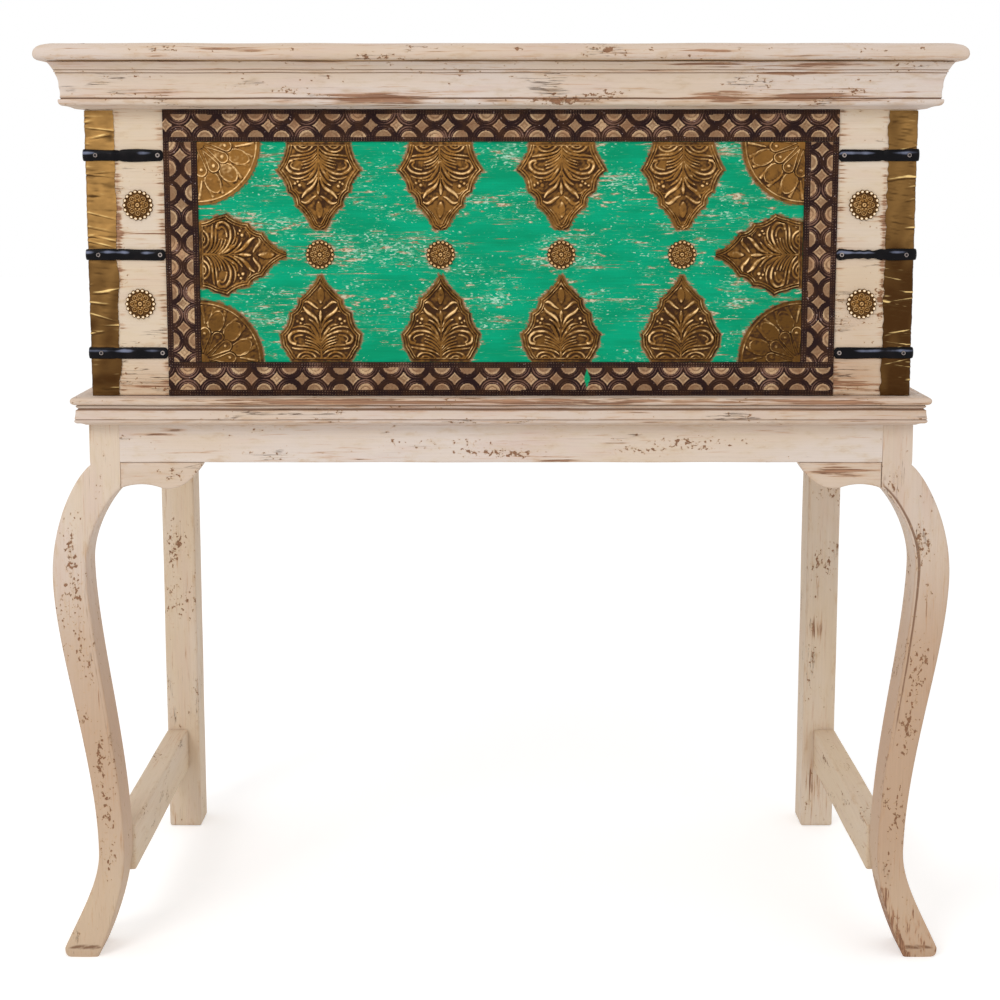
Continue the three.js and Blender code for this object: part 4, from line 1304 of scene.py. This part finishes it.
def upper_flank(height, x, z):
    """How steeply a grid of heights over x and z rises downward and to the right, in -1..1: the upper
    left flank of a rib is positive."""
    down, along = ([np.gradient(values, axis=axis) for values in (height, x, z)] for axis in (0, 1))
    area = down[1] * along[2] - along[1] * down[2]
    area = np.where(np.abs(area) < 1e-6, 1e-6, area)
    slope_x = (down[0] * along[2] - along[0] * down[2]) / area
    slope_z = (down[1] * along[0] - along[1] * down[0]) / area
    return np.clip(0.4 * slope_x - 0.9 * slope_z, -1, 1)


def rubbed_and_lit(art, x, z, closed=False):
    """How bright a relief is: rubbed bright and given a painted highlight where it stands out, a painted
    highlight on its upper flanks as if lit from the upper left, and painted shade beside the ribs and below
    them."""
    near, far = (stand_out(art, cells, closed) for cells in (5, 14))
    return 0.45 * near + 0.3 * far + 0.28 * upper_flank(art, x, z)


def emboss(name, spot, x, y, relief):
    """Embossed plate in the front plane. Slow waves shift its ribs and dent it, so no two are alike."""
    x0, z0, across, up = spot
    world_x = x0 + x * across[0] + y * up[0]
    world_z = z0 + x * across[1] + y * up[1]
    flat = stacked(world_x, 0.0, world_z)
    seed = seed_of(name)
    dull, crisp, ground = LEAF_LOOK[name]
    base, art = relief(x, y, x + 0.6 * waves(flat, 30, seed + 7), y + 0.6 * waves(flat, 30, seed + 8))
    art = crisp * art * (1 + 0.3 * waves(flat, 12, seed + 9)) + 0.09 * waves(flat, 3.4, seed + 10)
    height = 0.5 + base + art + 0.25 * waves(flat, 30, seed) + 0.1 * waves(flat, 9, seed + 4)
    back_y = FRONT - STAND_OFF
    points, faces = plate(stacked(world_x, back_y - height.clip(0.25), world_z), back_y)
    clouds = 0.12 * waves(flat, 22, seed + 5) + 0.1 * waves(flat, 6, seed + 12)
    # Brightness mark: the plate's ground, and its relief rubbed bright with a painted highlight on the upper
    # flanks and painted shade beside and below the ribs, with slow clouds.
    shine = filled(ground + (rubbed_and_lit(art, world_x, world_z) + clouds), points, ground)
    # Darkening towards tarnish from LEAF_LOOK: partly tarnish, partly painted shade.
    tarnished_and_shaded = filled(dull + 0.2 * waves(flat, 40, seed + 6), points, dull)
    dress(name, points, faces, LEAF_BRASS, 2, marks={"raise": shine, "dull": tarnished_and_shaded.clip(0, 1)}, smooth=60)


def build_leaves():
    """Grid over a leaf: rows go up along its spine, columns spread to its two borders."""
    rows, columns = 140, 140
    y = np.repeat(np.linspace(0, LEAF_LENGTH, rows)[:, None], columns, axis=1)
    for name, spot in leaf_places().items():
        x = leaf_border(name, y) * np.linspace(-1, 1, columns)[None, :]
        emboss(name, spot, x, y, lambda *spots, leaf=name: leaf_relief(*spots, leaf))


def to_discs(along, beside, centres, radii):
    """Distance outside the shape swept by discs along a ray, less than 0 inside it."""
    steps = np.linspace(0, len(centres) - 1, 26)
    centre = np.interp(steps, range(len(centres)), centres)
    radius = np.interp(steps, range(len(centres)), radii)
    return (np.hypot(along[..., None] - centre, beside[..., None]) - radius).min(axis=-1)


def beside_ray(radius, turn, middle):
    """Distance along a ray at an angle in degrees, and distance to its left."""
    away = np.radians(turn - middle)
    return radius * np.cos(away), radius * np.sin(away)


def corner_relief(x, y, shifted_x, shifted_y):
    """Quarter palmette: four teardrop petals with raised outlines and beads, domed pointed lobes
    between them, slanting strokes, and a rim near the arc."""
    radius = np.hypot(shifted_x, shifted_y)
    turn = np.degrees(np.arctan2(shifted_y, shifted_x))
    art = np.zeros(x.shape)
    for middle in (20, 44.5, 69):
        along, beside = beside_ray(radius, turn, middle)
        gap = to_discs(along, beside, [33, 37, 41, 45, 49, 52, 55.5], [2, 5.5, 8, 8.6, 6.6, 3.8, 0.6])
        lobe = 0.45 + 0.35 * np.sqrt((-gap / 8).clip(0, 1)) + 0.75 * np.exp(-((gap + 0.9) / 0.6) ** 2)
        art = np.where(gap < 0, lobe, art)
    for middle, lean in [(m, way) for m in PETALS for way in (-7, 7)]:
        bottom = np.radians(middle + 0.25 * lean)
        top = np.radians(middle + lean)
        ends = [(r * math.cos(a), r * math.sin(a)) for r, a in ((40, bottom), (57, top))]
        art = np.maximum(art, stroke(shifted_x, shifted_y, ends, 2.0, 1.1, "rib"))
    for middle in PETALS:
        along, beside = beside_ray(radius, turn, middle)
        gap = to_discs(along, beside, [9, 30], [0.8, 6.0])
        petal = 0.15 + 1.0 * np.exp(-((gap + 0.9) / 0.7) ** 2)
        petal = np.maximum(petal, dome(np.hypot(along - 29, beside) / 2.0, 1.2))
        art = np.where(gap < 0.7, np.where(gap < 0, petal, 0), art)
    distance = np.hypot(x, y)
    art = np.where(distance > 57.8, np.exp(-((distance - 59.6) / 0.8) ** 2), art)
    art = np.maximum(art, dome(distance / 8, 1.2))
    return 0.2 + 0.7 * np.sin(np.pi * (distance / CORNER_RADIUS).clip(0, 1)), art


def build_corner_leaves():
    """Grid over a quarter disc: rows go out along the radius, columns turn through the right angle."""
    radius = np.linspace(0.4, CORNER_RADIUS, 115)[:, None]
    angle = np.linspace(0, np.pi / 2, 175)[None, :]
    for name, spot in corner_places().items():
        emboss(name, spot, radius * np.cos(angle), radius * np.sin(angle), corner_relief)


# Rosettes

# Small rings on the rim of a rosette, and the radius at which the rim starts
RIM_RINGS = 18
RIM_START = 10.8


def ring_of(turn, radius, count, at, size):
    """Distance to the nearest of count spots on a circle, over a size."""
    step = 2 * np.pi / count
    beside = ((turn + step / 2) % step - step / 2) * radius
    return np.hypot(beside, radius - at) / size


def rosette_art(turn, radius):
    """Relief of a rosette, and the distance to the small rings of its rim: a stud with a hole, two rings
    of petals, and the rim's rings."""
    art = 1.1 * np.exp(-((ring_of(turn, radius, 8, 7.6, 2.6) - 0.85) / 0.2) ** 2) * (radius < 10.6)
    art = np.maximum(art, dome(ring_of(turn, radius, 8, 7.8, 1.2), 0.9))
    art = np.maximum(art, dome(ring_of(turn + 0.39, radius, 8, 4.4, 1.5), 1.2))
    rim = ring_of(turn, radius, RIM_RINGS, 12.8, 1.0)
    art = np.where(radius > RIM_START, 2.0 * np.exp(-((rim - 1.2) / 0.55) ** 2), art)
    hole = 1 - np.exp(-(radius / 0.8) ** 2)
    return np.where(radius < 2.2, dome(radius / 2.25, 1.6) * hole, art), rim


def rosette(name):
    """Stamped rosette: polar grid over a dome, whose rim's small rings hold pale paint. Those on the end
    panels are larger and hold more of it."""
    low, high = node_box(name)
    middle = (low + high) / 2
    spread, pale = (1.0, 2.3) if "field" in name else (1.07, 3.0)
    turn = np.linspace(0, 2 * np.pi, 180, endpoint=False)[None, :]
    share = np.linspace(0.015, 1, 44)[:, None]
    radius = share * (13.5 + 1.1 * np.abs(np.cos(turn * RIM_RINGS / 2)) ** 1.5)
    art, rim = rosette_art(turn, radius)
    crown = 0.4 + 1.9 * np.cos((radius / RIM_START).clip(0, 1) * np.pi / 2)
    height = (crown + 0.7 * art) * np.where(share > 0.985, 0.5, 1.0)
    x = middle[0] + spread * radius * np.cos(turn)
    z = middle[2] + spread * radius * np.sin(turn)
    last = stacked(x[-1:], high[1], z[-1:])
    points, faces = skin(np.concatenate([stacked(x, high[1] - height, z), last]))
    spots = np.where(rim < 1.1, pale, 0.2)
    # Brightness mark: pale paint in the rim's rings, and the relief rubbed bright with a painted highlight
    # on the upper flanks and painted shade beside and below the petals.
    shine = np.where(radius > RIM_START, spots, 0.42 + rubbed_and_lit(art, x, z, closed=True))
    marks = {"raise": filled(shine, points), "dull": np.full(len(points), 0.35)}
    dress(name, points, faces, LEAF_BRASS, 2, marks=marks, smooth=60)


def build_rosettes():
    """Four rosettes in the field, and two on each end panel."""
    ends = [f"{hand}_{level}" for hand, _ in HANDS for level in ("upper", "lower")]
    for place in [f"field_{i}" for i in range(1, 5)] + ends:
        rosette(f"rosette_{place}")


# Brass cladding and iron straps on the corners

def corner_path(points, radius, spacing):
    """Points along a path of straight runs in x and y, its corners rounded, evenly spaced."""
    runs = [np.array(points[0], float)[None]]
    for before, here, after in zip(points, points[1:], points[2:]):
        before, here, after = (np.array(p, float) for p in (before, here, after))
        into = (before - here) / np.linalg.norm(before - here)
        out = (after - here) / np.linalg.norm(after - here)
        cut = min(radius, 0.45 * np.linalg.norm(before - here), 0.45 * np.linalg.norm(after - here))
        runs.append(curve(here + into * cut, here, here + out * cut, steps=9))
    runs.append(np.array(points[-1], float)[None])
    path = np.concatenate(runs)
    length = np.concatenate([[0], np.cumsum(np.linalg.norm(np.diff(path, axis=0), axis=1))])
    even = np.linspace(0, length[-1], int(length[-1] / spacing))
    return np.stack([np.interp(even, length, path[:, i]) for i in range(2)], -1), even


def outward_of(path):
    """Unit directions square to a path in x and y that starts along the front, away from the trunk."""
    tangent = np.gradient(path, axis=0)
    square = np.stack([tangent[:, 1], -tangent[:, 0]], -1)
    square = square / np.linalg.norm(square, axis=1, keepdims=True)
    return square * np.sign((square[0] * [0, -1]).sum())


# Where a strap is drawn in and where its first nail sits, as distances from its inner end, and the
# other nail's distance from the corner
STRAP_STEP = {"upper": 44.0, "middle": 49.0, "lower": 52.0}
END_NAIL = 5
OUTER_NAIL = {"left": 10.3, "right": 7.5}
# How far a strap stands off over the cladding, and the heads of its nails before the front
STRAP_SEAT = 1.6
END_NAIL_LIFT = 2.4
CORNER_NAIL_LIFT = 3.7
NAIL_RADIUS = 2.4
SCREW_RADIUS = 2.8


def strap_plan(start, side_end):
    """Way of a strap on the right in x and y: along the front, over the cladding round the corner, and
    along the side."""
    near, ramp = CLAD_REACH + 0.3, CLAD_REACH + 2.7
    return [(start, FRONT - STAND_OFF), (HALF - ramp, FRONT - STAND_OFF), (HALF - near, FRONT - STRAP_SEAT),
            (HALF + STRAP_SEAT, FRONT - STRAP_SEAT), (HALF + STRAP_SEAT, FRONT + near),
            (HALF + STAND_OFF, FRONT + ramp), (HALF + STAND_OFF, side_end)]


def strap_size(name, along, half_height):
    """Half height and thickness of a strap along its way: both waver, step in at one place, and are drawn
    down at the ends. The middle strap on the right is narrow near its inner end."""
    seed = seed_of(name)
    run = on_axis(along)
    step = np.exp(-((along - STRAP_STEP[name.split("_")[-1]]) / 2) ** 2)
    half_height = half_height * (0.94 + 0.06 * waves(run, 45, seed)) * (1 - 0.12 * step)
    if name == "strap_right_middle":
        narrow = np.exp(-((along - 26) / 17) ** 4)
        half_height *= 1 - narrow * (0.24 + 0.12 * waves(run, 7, seed + 8))
    thick = 2.3 + 0.35 * waves(run, 28, seed + 1) - 0.7 * step
    end = np.minimum(along, along[-1] - along)
    half_height *= np.sqrt(1 - ((3 - end) / 3.6).clip(0) ** 2)
    return half_height, thick * np.sqrt(1 - ((2 - end) / 2.3).clip(0) ** 2)


def strap(hand, side, row):
    """Forged strap: a half-round section carried from the front round the corner along the side, with a
    nail at its inner end and one at the corner."""
    name = f"strap_{hand}_{row}"
    low, high = node_box(name)
    start = min(abs(low[0]), abs(high[0]))
    middle_z = (low[2] + high[2]) / 2
    path, along = corner_path(strap_plan(start, high[1]), 3.0, 1.6)
    out = outward_of(path)
    half_height, thick = (size[:, None] for size in strap_size(name, along, (high[2] - low[2]) / 2))
    angle = np.linspace(0, np.pi, 15)
    across = np.concatenate([np.cos(angle), [-0.98, 0.0, 0.98]])
    stand = np.concatenate([0.12 + 0.88 * np.sin(angle) ** 0.6, [0, 0, 0]])
    lean = 0.5 * waves(on_axis(along), 90, seed_of(name) + 2)[:, None]
    shine = 0.75 + 0.5 * waves(on_axis(along), 26, seed_of(name) + 5)[:, None]
    lift = thick * stand
    x, y = (path[:, None, i] + out[:, None, i] * lift for i in (0, 1))
    points, faces = skin(stacked(side * x, y, middle_z + lean + half_height * across))
    # Painted highlight: a pale band along the upper part of the strap, its strength wavering along the
    # strap.
    crown = np.exp(-((across - 0.4) / 0.35) ** 2) * shine * (stand > 0)
    dress(name, points, faces, IRON, 0, marks={"raise": filled(crown, points)})
    end = (side * (start + END_NAIL), FRONT - END_NAIL_LIFT, middle_z)
    nail_head(f"nail_{hand}_{row}_end", end, NAIL_RADIUS)
    corner = (side * (HALF - OUTER_NAIL[hand]), FRONT - CORNER_NAIL_LIFT, middle_z)
    nail_head(f"nail_{hand}_{row}_corner", corner, NAIL_RADIUS, light=0.6)


def nail_head(name, spot, radius, way=-1, body="trunk", light=1.0):
    """Cupped nail head that faces along y, forward or backward: a low ring round a sunk middle, turned
    from a short profile."""
    rows = [(0.15, 0.35), (0.42, 0.35), (0.58, 0.6), (0.78, 0.62), (0.95, 0.35), (1.0, -0.3)]
    out, rise = np.array(rows).T[..., None]
    turn = np.linspace(0, 2 * np.pi, 14, endpoint=False)
    x, y, z = spot
    points, faces = skin(stacked(x + radius * out * np.cos(turn), y + way * radius * rise,
                                 z + radius * out * np.sin(turn)))
    bright = light * np.repeat([0.1, 0.15, 0.9, 1.0, 0.7, 0.3], len(turn))
    make(name, points, faces, NAIL, body=body, marks={"raise": np.concatenate([bright, [0.1, 0.3]])})


# How far the cladding is darkened towards tarnish at heights of the box: painted shade, with the lower parts
# and the right corner darker, as light falls from the upper left.
CLAD_TARNISH_AND_SHADE = {
    "left": ([620, 700, 745, 765], [0.9, 0.7, 0.6, 0.0]),
    "right": ([620, 700, 745, 765, 890], [1.0, 1.0, 0.95, 0.65, 0.5]),
}


def creases(draw, zs, along, bottom, top):
    """Thin slanting folds of a sheet, raised on one side and sunk on the other."""
    total = np.zeros((len(zs), len(along)))
    for _ in range(34):
        level = draw.uniform(bottom, top)
        slant = draw.uniform(-0.3, 0.3)
        at = draw.uniform(0, 2 * CLAD_REACH)
        span = draw.uniform(0.3, 0.8) * CLAD_REACH
        gap = (zs[:, None] - level - slant * (along - at)) / draw.uniform(0.6, 1.1)
        fold = np.exp(-gap ** 2) - 0.7 * np.exp(-((gap + 1.9) / 0.9) ** 2)
        total += draw.uniform(0.5, 1.0) * fold * np.exp(-((along - at) / span) ** 4)
    return total.clip(-0.7, 1.0)


def cladding(hand, side):
    """Thin brass bent round the front corner: thin slanting creases, slow dents and a torn inner edge."""
    name = f"corner_cladding_{hand}"
    plan = [(HALF - CLAD_REACH, FRONT - STAND_OFF), (HALF + STAND_OFF, FRONT - STAND_OFF),
            (HALF + STAND_OFF, FRONT + CLAD_REACH)]
    path, along = corner_path(plan, 2.0, 1.0)
    out = outward_of(path)
    (_, _, bottom), (_, _, top) = node_box(name)
    zs = np.arange(bottom, top - 0.4, 0.75)
    seed = seed_of(name)
    torn = 1.3 * waves(on_axis(zs, 2), 26, seed) + 0.6 * waves(on_axis(zs, 2), 7, seed + 1)
    stretch = 1 + torn[:, None] / (2 * CLAD_REACH) * np.linspace(1, 0, len(along)) ** 2
    crease = creases(np.random.default_rng(seed), zs, along, bottom, top)
    spread = stacked(along, 0.0, zs[:, None])
    dents = 0.3 * waves(spread, 18, seed + 2) + 0.1 * waves(spread, 6, seed + 3)
    wrinkle = waves(spread * [0.16, 1, 1], 3.2, seed + 5) * (0.6 + 0.6 * waves(spread, 24, seed + 6)).clip(0)
    sheet = (0.85 + 0.35 * crease + dents + 0.08 * wrinkle).clip(0.3)
    edge = (along[-1] - along) * stretch
    base_x, base_y = (np.interp(along[-1] - edge, along, path[:, i]) for i in (0, 1))
    base_x = base_x - (edge - along[-1]).clip(0)
    outer = stacked(side * (base_x + out[:, 0] * sheet), base_y + out[:, 1] * sheet, zs[:, None])
    inner = stacked(side * base_x, base_y, zs[:, None])
    points, faces = skin(np.concatenate([outer, inner[:, ::-1]], axis=1))
    # Brightness mark: painted highlights on the raised side of each crease, on dents and on wrinkles, and
    # painted shade on the sunk side of the creases.
    shine = 0.38 + 0.6 * crease + 0.36 * dents + 0.2 * wrinkle
    shine = np.concatenate([shine, np.full(crease.shape, 0.3)], axis=1)
    # Painted shade: darker lower down and on the right corner.
    dull = np.interp(points[:, 2], *CLAD_TARNISH_AND_SHADE[hand]) + 0.15 * waves(points, 25, seed + 4)
    marks = {"raise": filled(shine, points, 0.3), "dull": dull.clip(0, 1)}
    dress(name, points, faces, CLAD_BRASS, 2, marks=marks, smooth=60)


# Hinges

def build_hinges():
    """Iron on the hinges' own solids, and three screws in each leaf."""
    for hand, side in HANDS:
        for part in ("box_leaf", "lid_leaf", "pin"):
            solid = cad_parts[f"hinge_{hand}_{part}"]
            solid.data.materials.clear()
            solid.data.materials.append(HINGE_IRON)
        for part, body in (("box_leaf", "trunk"), ("lid_leaf", "lid")):
            low, high = node_box(f"hinge_{hand}_{part}")
            level = low[2] + 12 if part == "box_leaf" else high[2] - 5
            middle = (low[0] + high[0]) / 2
            for i, shift in enumerate((-23, 0, 23)):
                spot = (middle + shift, BACK + 2.9, level)
                nail_head(f"screw_{hand}_{part}_{i + 1}", spot, SCREW_RADIUS, way=1, body=body)


# Stage, light and camera

def build_stage():
    """Pale floor that keeps the shadow, white surroundings, soft light from the front and above."""
    mesh = bpy.data.meshes.new("floor")
    size = 12.0
    corners = [(-size, -size, 0), (size, -size, 0), (size, size, 0), (-size, size, 0)]
    mesh.from_pydata(corners, [], [(0, 1, 2, 3)])
    floor = bpy.data.objects.new("floor", mesh)
    bpy.context.scene.collection.objects.link(floor)
    f = new_finish("floor paint")
    f.node("ShaderNodeOutputMaterial", {}, {"Surface": floor_shader(f)})
    mesh.materials.append(f.holder)

    world = bpy.data.worlds.new("surroundings")
    bpy.context.scene.world = world
    f = Finish(world)
    lit = 0.8
    background = f.node("ShaderNodeBackground", {}, {
        "Color": (1, 1, 1, 1), "Strength": f.seen() * (1 - lit) + lit})
    f.node("ShaderNodeOutputWorld", {}, {"Surface": background.outputs[0]})


def floor_shader(f):
    """White paint, which the camera sees lifted to white away from the shadow."""
    paint = f.node("ShaderNodeBsdfDiffuse", {}, {"Color": (0.86, 0.86, 0.86, 1)})
    glow = f.node("ShaderNodeEmission", {}, {"Color": (1, 1, 1, 1), "Strength": 0.36})
    lifted = f.node("ShaderNodeAddShader", {}, {"Shader": paint.outputs[0], "Shader_001": glow.outputs[0]})
    mixed = f.node("ShaderNodeMixShader", {}, {
        "Fac": f.seen(), "Shader": paint.outputs[0], "Shader_001": lifted.outputs[0]})
    return mixed.outputs[0]


def area_light(name, spot, aim, size, power):
    """Square soft light at a spot in metres, facing another."""
    lamp = bpy.data.lights.new(name, "AREA")
    lamp.size = size
    lamp.energy = power
    holder = bpy.data.objects.new(name, lamp)
    bpy.context.scene.collection.objects.link(holder)
    way = np.array(aim) - np.array(spot)
    holder.location = spot
    holder.rotation_euler = (math.atan2(np.hypot(way[0], way[1]), -way[2]), 0,
                             math.atan2(way[1], way[0]) - math.pi / 2)


def build_camera():
    """Camera at the height and tilt from which the trunk is seen in its picture."""
    distance, height, tilt = 1920.8, 838.6, 0.145
    data = bpy.data.cameras.new("camera")
    data.lens = 67.9
    data.sensor_width = 36
    data.shift_x = -0.001
    data.shift_y = -0.06
    camera = bpy.data.objects.new("camera", data)
    bpy.context.scene.collection.objects.link(camera)
    camera.location = (0, (FRONT - distance) * MM, height * MM)
    camera.rotation_euler = (math.pi / 2 - tilt, 0, 0)
    bpy.context.scene.camera = camera


build_camera()
build_stage()
area_light("key light", (-1.4, -2.4, 2.3), (0, 0, 0.6), 1.1, 25)
area_light("fill light", (2.2, -2.4, 1.2), (0, 0, 0.5), 1.4, 5)
build_boards()
build_stand_rails()
build_mouldings()
for hand_name, hand_side in HANDS:
    front_leg(hand_name, hand_side)
    bracket(hand_name, hand_side)
    cladding(hand_name, hand_side)
    for strap_row in ("upper", "middle", "lower"):
        strap(hand_name, hand_side, strap_row)
build_front_board()
build_strips()
build_leaves()
build_corner_leaves()
build_rosettes()
build_hinges()

bpy.context.scene.view_settings.view_transform = "Standard"
